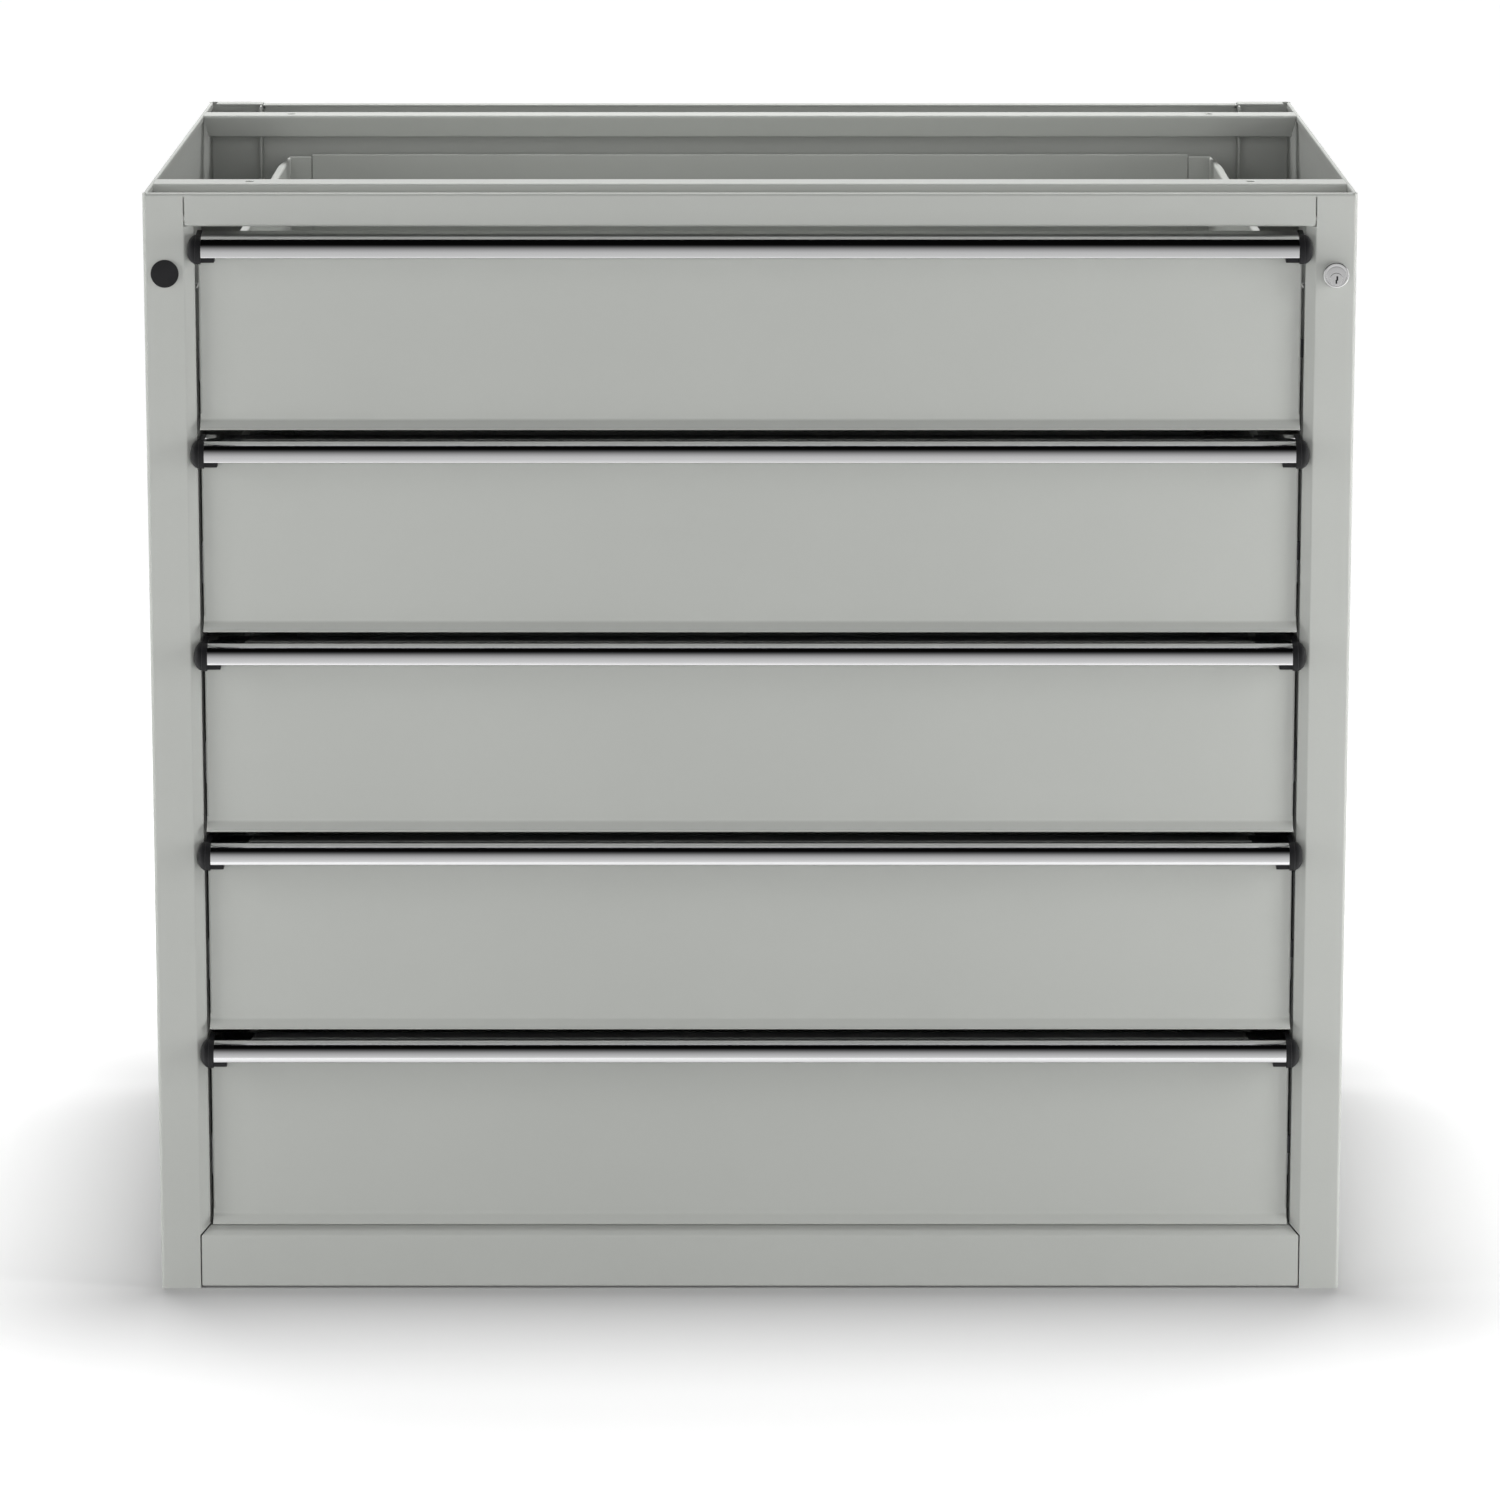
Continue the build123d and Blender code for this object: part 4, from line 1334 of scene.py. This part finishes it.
@dataclass
class LockSet:
    """Key lock in the right stile and the plug in the left one.

    The groove in the lock's face is a row of insets from its rim, each with its dip and the share of the key
    plug's drop by which that circle is lowered.
    """

    finishes: Palette
    x: float = field(init=False)
    z: float = field(init=False)
    soft_edge: float = 0.2
    head: float = -9.5
    head_r: float = 9.7
    head_round: float = 1.1
    groove: tuple[Triple, ...] = ((2.6, 0.0, 0.4), (2.2, 0.35, 0.3), (1.9, 0.35, 0.25), (1.5, 0.0, 0.15))
    barrel_r: float = 8.8
    barrel_end: float = 13.8
    key_drop: float = 3.0
    key_r: float = 4.85
    key_fit: float = 0.1
    key_proud: float = 0.3
    key_round: float = 0.35
    keyway: Point = (-3.2, 2.4)
    keyway_half: float = 0.6
    keyway_wide: float = 1.32
    keyway_step: float = 2.2
    keyway_notch: float = 2.8
    keyway_ramp: float = 0.2
    keyway_depth: float = 8.0
    # Depth of the black slab that paints the keyway's shade.
    keyway_shade_depth: float = 0.6
    tail_r: float = 3.0
    tail_end: float = 21.3
    rivet_r: float = 4.2
    rivet_end: float = 22.4
    plug_r: float = 10.5
    plug_head: float = 1.8
    plug_crown: float = 0.5
    plug_round: float = 0.6
    plug_stem_r: float = 8.0
    plug_stem: float = 8.0
    plug_wall: float = 1.5
    segments: int = 72

    def __post_init__(self) -> None:
        """Find the lock's axis in the frame."""
        self.x, self.z = lock_place()

    def build(self) -> None:
        """Build the lock's face, its key plug and the hole plug."""
        self.barrel()
        self.key_plug()
        self.hole_plug()
        dress_nodes(["lock_nut", "bar_guide_screws", "lock_cam"], self.finishes.zinc, self.soft_edge)
        # The locking bar and tongues take the darkened zinc: painted shade in the gaps beside the drawers.
        dress_nodes(["locking_bar", "lock_tongues"], self.finishes.shade_darkened_zinc, self.soft_edge)

    def round_piece(self, profile: Sequence[Sequence[float]], x: float, z: float) -> Shell:
        """Surface turned about an axis that runs back through the stile."""
        return turned(profile, (x, 0, z), (0, 1, 0), self.segments)

    def barrel(self) -> None:
        """Housing: a rounded head and a body, with an off-centre bore for the key plug."""
        bore = (self.key_r + self.key_fit, self.head, -self.key_drop)
        groove = [(self.head_r - inset, self.head + dip, -self.key_drop * share)
                  for inset, dip, share in self.groove]
        shoulder = rounded_rim(self.head_r, self.head, self.head_round, 1)
        profile = [bore, *groove, *shoulder, (self.head_r, 0), (self.barrel_r, 0),
                   (self.barrel_r, self.barrel_end), (bore[0], self.barrel_end, -self.key_drop), bore]
        body = self.round_piece(profile, self.x, self.z)
        Piece("lock_housing", "cabinet", self.finishes.lock, ("lock_barrel",)).add(body).write()

    def key_plug(self) -> None:
        """Turning plug with a rounded face, a keyway with painted shade from a black slab, a tail and a
        riveted end.
        """
        face, middle = self.head - self.key_proud, self.z - self.key_drop
        profile = [(0, face), *rounded_rim(self.key_r, face, self.key_round, 1),
                   (self.key_r, self.barrel_end), (self.tail_r, self.barrel_end),
                   (self.tail_r, self.tail_end), (self.rivet_r, self.tail_end),
                   (self.rivet_r, self.rivet_end), (0, self.rivet_end)]
        body = self.round_piece(profile, self.x, middle)
        low, high = (middle + value for value in self.keyway)
        half, wide = self.keyway_half, self.keyway_wide
        step, notch = low + self.keyway_step, low + self.keyway_notch
        slot = np.array([(-half, low), (half, low), (half, step), (wide, step + self.keyway_ramp),
                         (wide, high), (0, high), (0, notch + self.keyway_ramp), (-half, notch)])
        slot = slot + (self.x, 0)
        depth = face + self.keyway_depth
        keyway = slab(slot, Run.BACKWARD, (face - OVERSHOOT, depth), CUTTER_ROUND)
        Piece("lock_key_face", "lock_key", self.finishes.lock, ("lock_key_plug",)).add(body).write([keyway])
        # Black slab just inside the keyway's mouth: painted shade in the slot.
        keyway_shade_slab = slab(slot, Run.BACKWARD, (face + self.keyway_shade_depth, depth), CUTTER_ROUND)
        Piece("lock_shutter", "lock_key", self.finishes.black).add(keyway_shade_slab).write()

    def hole_plug(self) -> None:
        """Slightly crowned plug with a hollow stem, snapped into the left stile."""
        rim = self.plug_crown - self.plug_head
        crown = [(self.plug_r * math.sin(turn), rim - self.plug_crown * math.cos(turn))
                 for turn in np.linspace(0, QUARTER, BEND_STEPS + 1)[:-1]]
        hollow = self.plug_stem_r - self.plug_wall
        profile = [*crown, *rounded_rim(self.plug_r, rim, self.plug_round, 1), (self.plug_r, 0),
                   (self.plug_stem_r, 0), (self.plug_stem_r, self.plug_stem), (hollow, self.plug_stem),
                   (hollow, 0), (0, 0)]
        body = self.round_piece(profile, -self.x, self.z)
        Piece("stile_plug", "cabinet", self.finishes.black, ("hole_plug",)).add(body).write()


# Studio

@dataclass(frozen=True)
class Softbox:
    """A lamp: where it hangs, its width and height, and its power."""

    name: str
    place: Triple
    size: Point
    watts: float


def stand(name: str, data: bpy.types.ID, place: Triple, aim: Triple) -> bpy.types.Object:
    """Stand a camera or a lamp at a place and turn it towards another.

    Args:
        name: the object's name.
        data: the camera or the lamp.
        place: where it stands, in metres.
        aim: what it looks at.

    Returns:
        The object.
    """
    made = add_object(name, data)
    made.location = place
    made.rotation_mode = "QUATERNION"
    made.rotation_quaternion = (Vector(aim) - Vector(place)).to_track_quat("-Z", "Y")
    return made


@dataclass
class Studio:
    """Camera, floor, light and the card that the polished metal mirrors, in metres.

    Floor glow levels are brightnesses by the distance from the cabinet, low at its base for a painted contact
    shadow, and card levels by the elevation in degrees at which the grips see the card.
    """

    camera: Triple = (0.0, -5.319, 1.449)
    aim: Triple = (0.0, -0.319, 0.425)
    lens: float = 161.0
    sensor: float = 36.0
    farthest: float = 100.0
    sky: float = 0.08
    softboxes: tuple[Softbox, ...] = (
        Softbox("right_strip", (1.75, -0.77, 0.47), (0.35, 1.8), 33.0),
        Softbox("left_strip", (-1.75, -0.75, 0.47), (0.35, 1.8), 22.0),
        Softbox("front_light", (0.0, -5.8, 1.5), (3.0, 1.0), 130.0),
        Softbox("rear_light", (0.0, 1.0, 2.6), (2.4, 1.2), 80.0))
    lamp_aim: Triple = (0.0, -0.32, 0.45)
    floor_half: float = 40.0
    floor_albedo: Point = (0.8, 0.5)
    floor_roughness: float = 0.9
    floor_reach: float = 4.0
    # Glow by distance from the cabinet: low at the base as a painted contact shadow, near white further out.
    floor_glow_and_painted_shadow: tuple[Point, ...] = (
        (0.0, 0.02), (0.004, 0.07), (0.05, 0.23), (0.1, 0.36), (0.15, 0.47), (0.2, 0.57), (0.26, 0.66),
        (0.5, 0.72), (1.5, 0.82), (4.0, 0.97))
    grip_eye: Point = (-0.33, 0.5)
    card_path: tuple[Point, ...] = ((-0.95, 0.004), (-6.0, 0.004), (-6.0, 5.0), (2.0, 5.0))
    card_half: float = 9.0
    card_steps: int = 160
    card_range: Point = (-40.0, 120.0)
    card_levels: tuple[Point, ...] = (
        (-39, 0.86), (-30, 0.76), (-19, 0.66), (-8, 0.61), (1, 0.57), (8, 0.50), (16, 0.425), (24, 0.335),
        (32, 0.23), (41, 0.11), (49, 0.037), (56, 0.006), (62, 0.002))

    def build(self) -> None:
        """Build the studio."""
        self.place_camera()
        self.lay_floor()
        self.hang_card()
        self.light_world()
        for softbox in self.softboxes:
            self.hang_softbox(softbox)
        bpy.context.scene.view_settings.view_transform = "Standard"

    def place_camera(self) -> None:
        """Stand the camera where the photograph was taken, above the top and square to the front."""
        data = bpy.data.cameras.new("camera")
        data.sensor_width = self.sensor
        data.lens = self.lens
        data.clip_end = self.farthest
        bpy.context.scene.camera = stand("camera", data, self.camera, self.aim)

    def hang_softbox(self, softbox: Softbox) -> None:
        """Hang a softbox, which mirrors do not see, and point it at the cabinet.

        Args:
            softbox: the lamp.
        """
        data = bpy.data.lights.new(softbox.name, "AREA")
        data.shape = "RECTANGLE"
        data.size, data.size_y = softbox.size
        data.energy = softbox.watts
        stand(softbox.name, data, softbox.place, self.lamp_aim).visible_glossy = False

    def seen_rays(self, nodes: Nodes) -> Socket:
        """One where a ray from the camera, a mirror or glass arrives, else zero.

        Args:
            nodes: where the number is worked out.

        Returns:
            The number.
        """
        rays = nodes.add("ShaderNodeLightPath", {}).outputs
        bent = nodes.number("MAXIMUM", rays["Is Glossy Ray"], rays["Is Transmission Ray"])
        return nodes.number("MAXIMUM", rays["Is Camera Ray"], bent)

    def light_world(self) -> None:
        """White surroundings to the eye and in mirrors, and a softer sky for the light itself."""
        world = bpy.data.worlds.new("studio")
        bpy.context.scene.world = world
        nodes = Nodes(world, "Background")
        inputs = {"Value": self.seen_rays(nodes), "To Min": self.sky, "To Max": 1.0}
        level = nodes.add("ShaderNodeMapRange", inputs).outputs["Result"]
        nodes.set(Color=(1.0, 1.0, 1.0, 1.0), Strength=level)

    def clear_of_cabinet(self, nodes: Nodes) -> Socket:
        """Distance of a point of the floor from the cabinet's footprint: the length of what lies beyond it.

        Args:
            nodes: where the distance is worked out.

        Returns:
            The distance.
        """
        low, high = CAD_BOX
        half = ((high[0] - low[0]) / 2, (high[1] - low[1]) / 2, 0.0)
        beyond = nodes.vector("SUBTRACT", nodes.vector("ABSOLUTE", nodes.place()), half)
        return nodes.vector("LENGTH", nodes.vector("MAXIMUM", beyond, (0.0, 0.0, 0.0)))

    def lay_floor(self) -> None:
        """Pale floor that keeps the cast shadow, with a painted contact shadow: a glow that rises away from
        the base.
        """
        half = self.floor_half
        corners = [(-half, -half, 0), (half, -half, 0), (half, half, 0), (-half, half, 0)]
        mesh = bpy.data.meshes.new("floor")
        mesh.from_pydata(corners, [], [(0, 1, 2, 3)])
        floor = add_object("floor", mesh)
        material = bpy.data.materials.new("pale_floor")
        nodes = Nodes(material)
        seen = self.seen_rays(nodes)
        stops = [(index, (albedo,) * 3) for index, albedo in enumerate(self.floor_albedo)]
        nodes.set(Base_Color=nodes.tint(seen, stops), Roughness=self.floor_roughness, Specular_IOR_Level=0.0)
        # The glow is a painted contact shadow: dark at the footprint, rising with the distance from it.
        stops = [(place / self.floor_reach, (level,) * 3) for place, level in self.floor_glow_and_painted_shadow]
        share = nodes.number("DIVIDE", self.clear_of_cabinet(nodes), self.floor_reach)
        nodes.set(Emission_Color=nodes.tint(share, stops), Emission_Strength=seen)
        mesh.materials.append(material)

    def hang_card(self) -> None:
        """Card that only mirrors see: pale on the floor in front, darker up the wall, black overhead.

        Its section runs forward along the floor, up a wall behind the camera and back under the ceiling. The
        card's UV map holds the elevation at which the grips see each point, and the levels follow that.
        """
        corners, count = np.asarray(self.card_path), self.card_steps
        length = np.concatenate([[0], np.cumsum(np.linalg.norm(np.diff(corners, axis=0), axis=1))])
        along = np.linspace(0, length[-1], count)
        path = np.stack([np.interp(along, length, column) for column in corners.T], axis=-1)
        ahead, above = self.grip_eye[0] - path[:, 0], path[:, 1] - self.grip_eye[1]
        low, high = self.card_range
        share = (np.degrees(np.arctan2(above, ahead)) - low) / (high - low)
        edges = [np.column_stack([np.full(count, x), path]) for x in (-self.card_half, self.card_half)]
        row = np.arange(count - 1)
        faces = np.stack([row, row + 1, row + 1 + count, row + count], axis=-1)
        mesh = bpy.data.meshes.new("mirror_card")
        mesh.from_pydata(np.vstack(edges).tolist(), [], faces.tolist())
        layer = mesh.uv_layers.new(name="elevation")
        corner = np.empty(len(mesh.loops), np.int32)
        mesh.loops.foreach_get("vertex_index", corner)
        spread = np.column_stack([np.zeros(len(corner)), np.tile(share, 2)[corner]])
        layer.data.foreach_set("uv", spread.ravel())
        card = add_object("mirror_card", mesh)
        material = bpy.data.materials.new("graded_card")
        nodes = Nodes(material)
        uv = nodes.add("ShaderNodeUVMap", {}, uv_map="elevation").outputs["UV"]
        height = nodes.add("ShaderNodeSeparateXYZ", {"Vector": uv}).outputs["Y"]
        stops = [((elevation - low) / (high - low), (level,) * 3) for elevation, level in self.card_levels]
        nodes.set(Base_Color=(0, 0, 0, 1), Specular_IOR_Level=0.0)
        nodes.set(Emission_Color=nodes.tint(height, stops), Emission_Strength=1.0)
        mesh.materials.append(material)
        for kind in ("camera", "diffuse", "transmission", "volume_scatter", "shadow"):
            setattr(card, f"visible_{kind}", False)


def main() -> None:
    """Build the cabinet's sub-assemblies and the studio in order."""
    logging.basicConfig(level=logging.INFO, format="%(message)s")
    finishes = Palette()
    Carcass(finishes).build()
    drawers = [Drawer(number, finishes) for number in range(1, DRAWERS + 1)]
    for drawer in drawers:
        drawer.build()
    FixedSlides(drawers).build()
    LockSet(finishes).build()
    Studio().build()


if __name__ == "__main__":
    main()
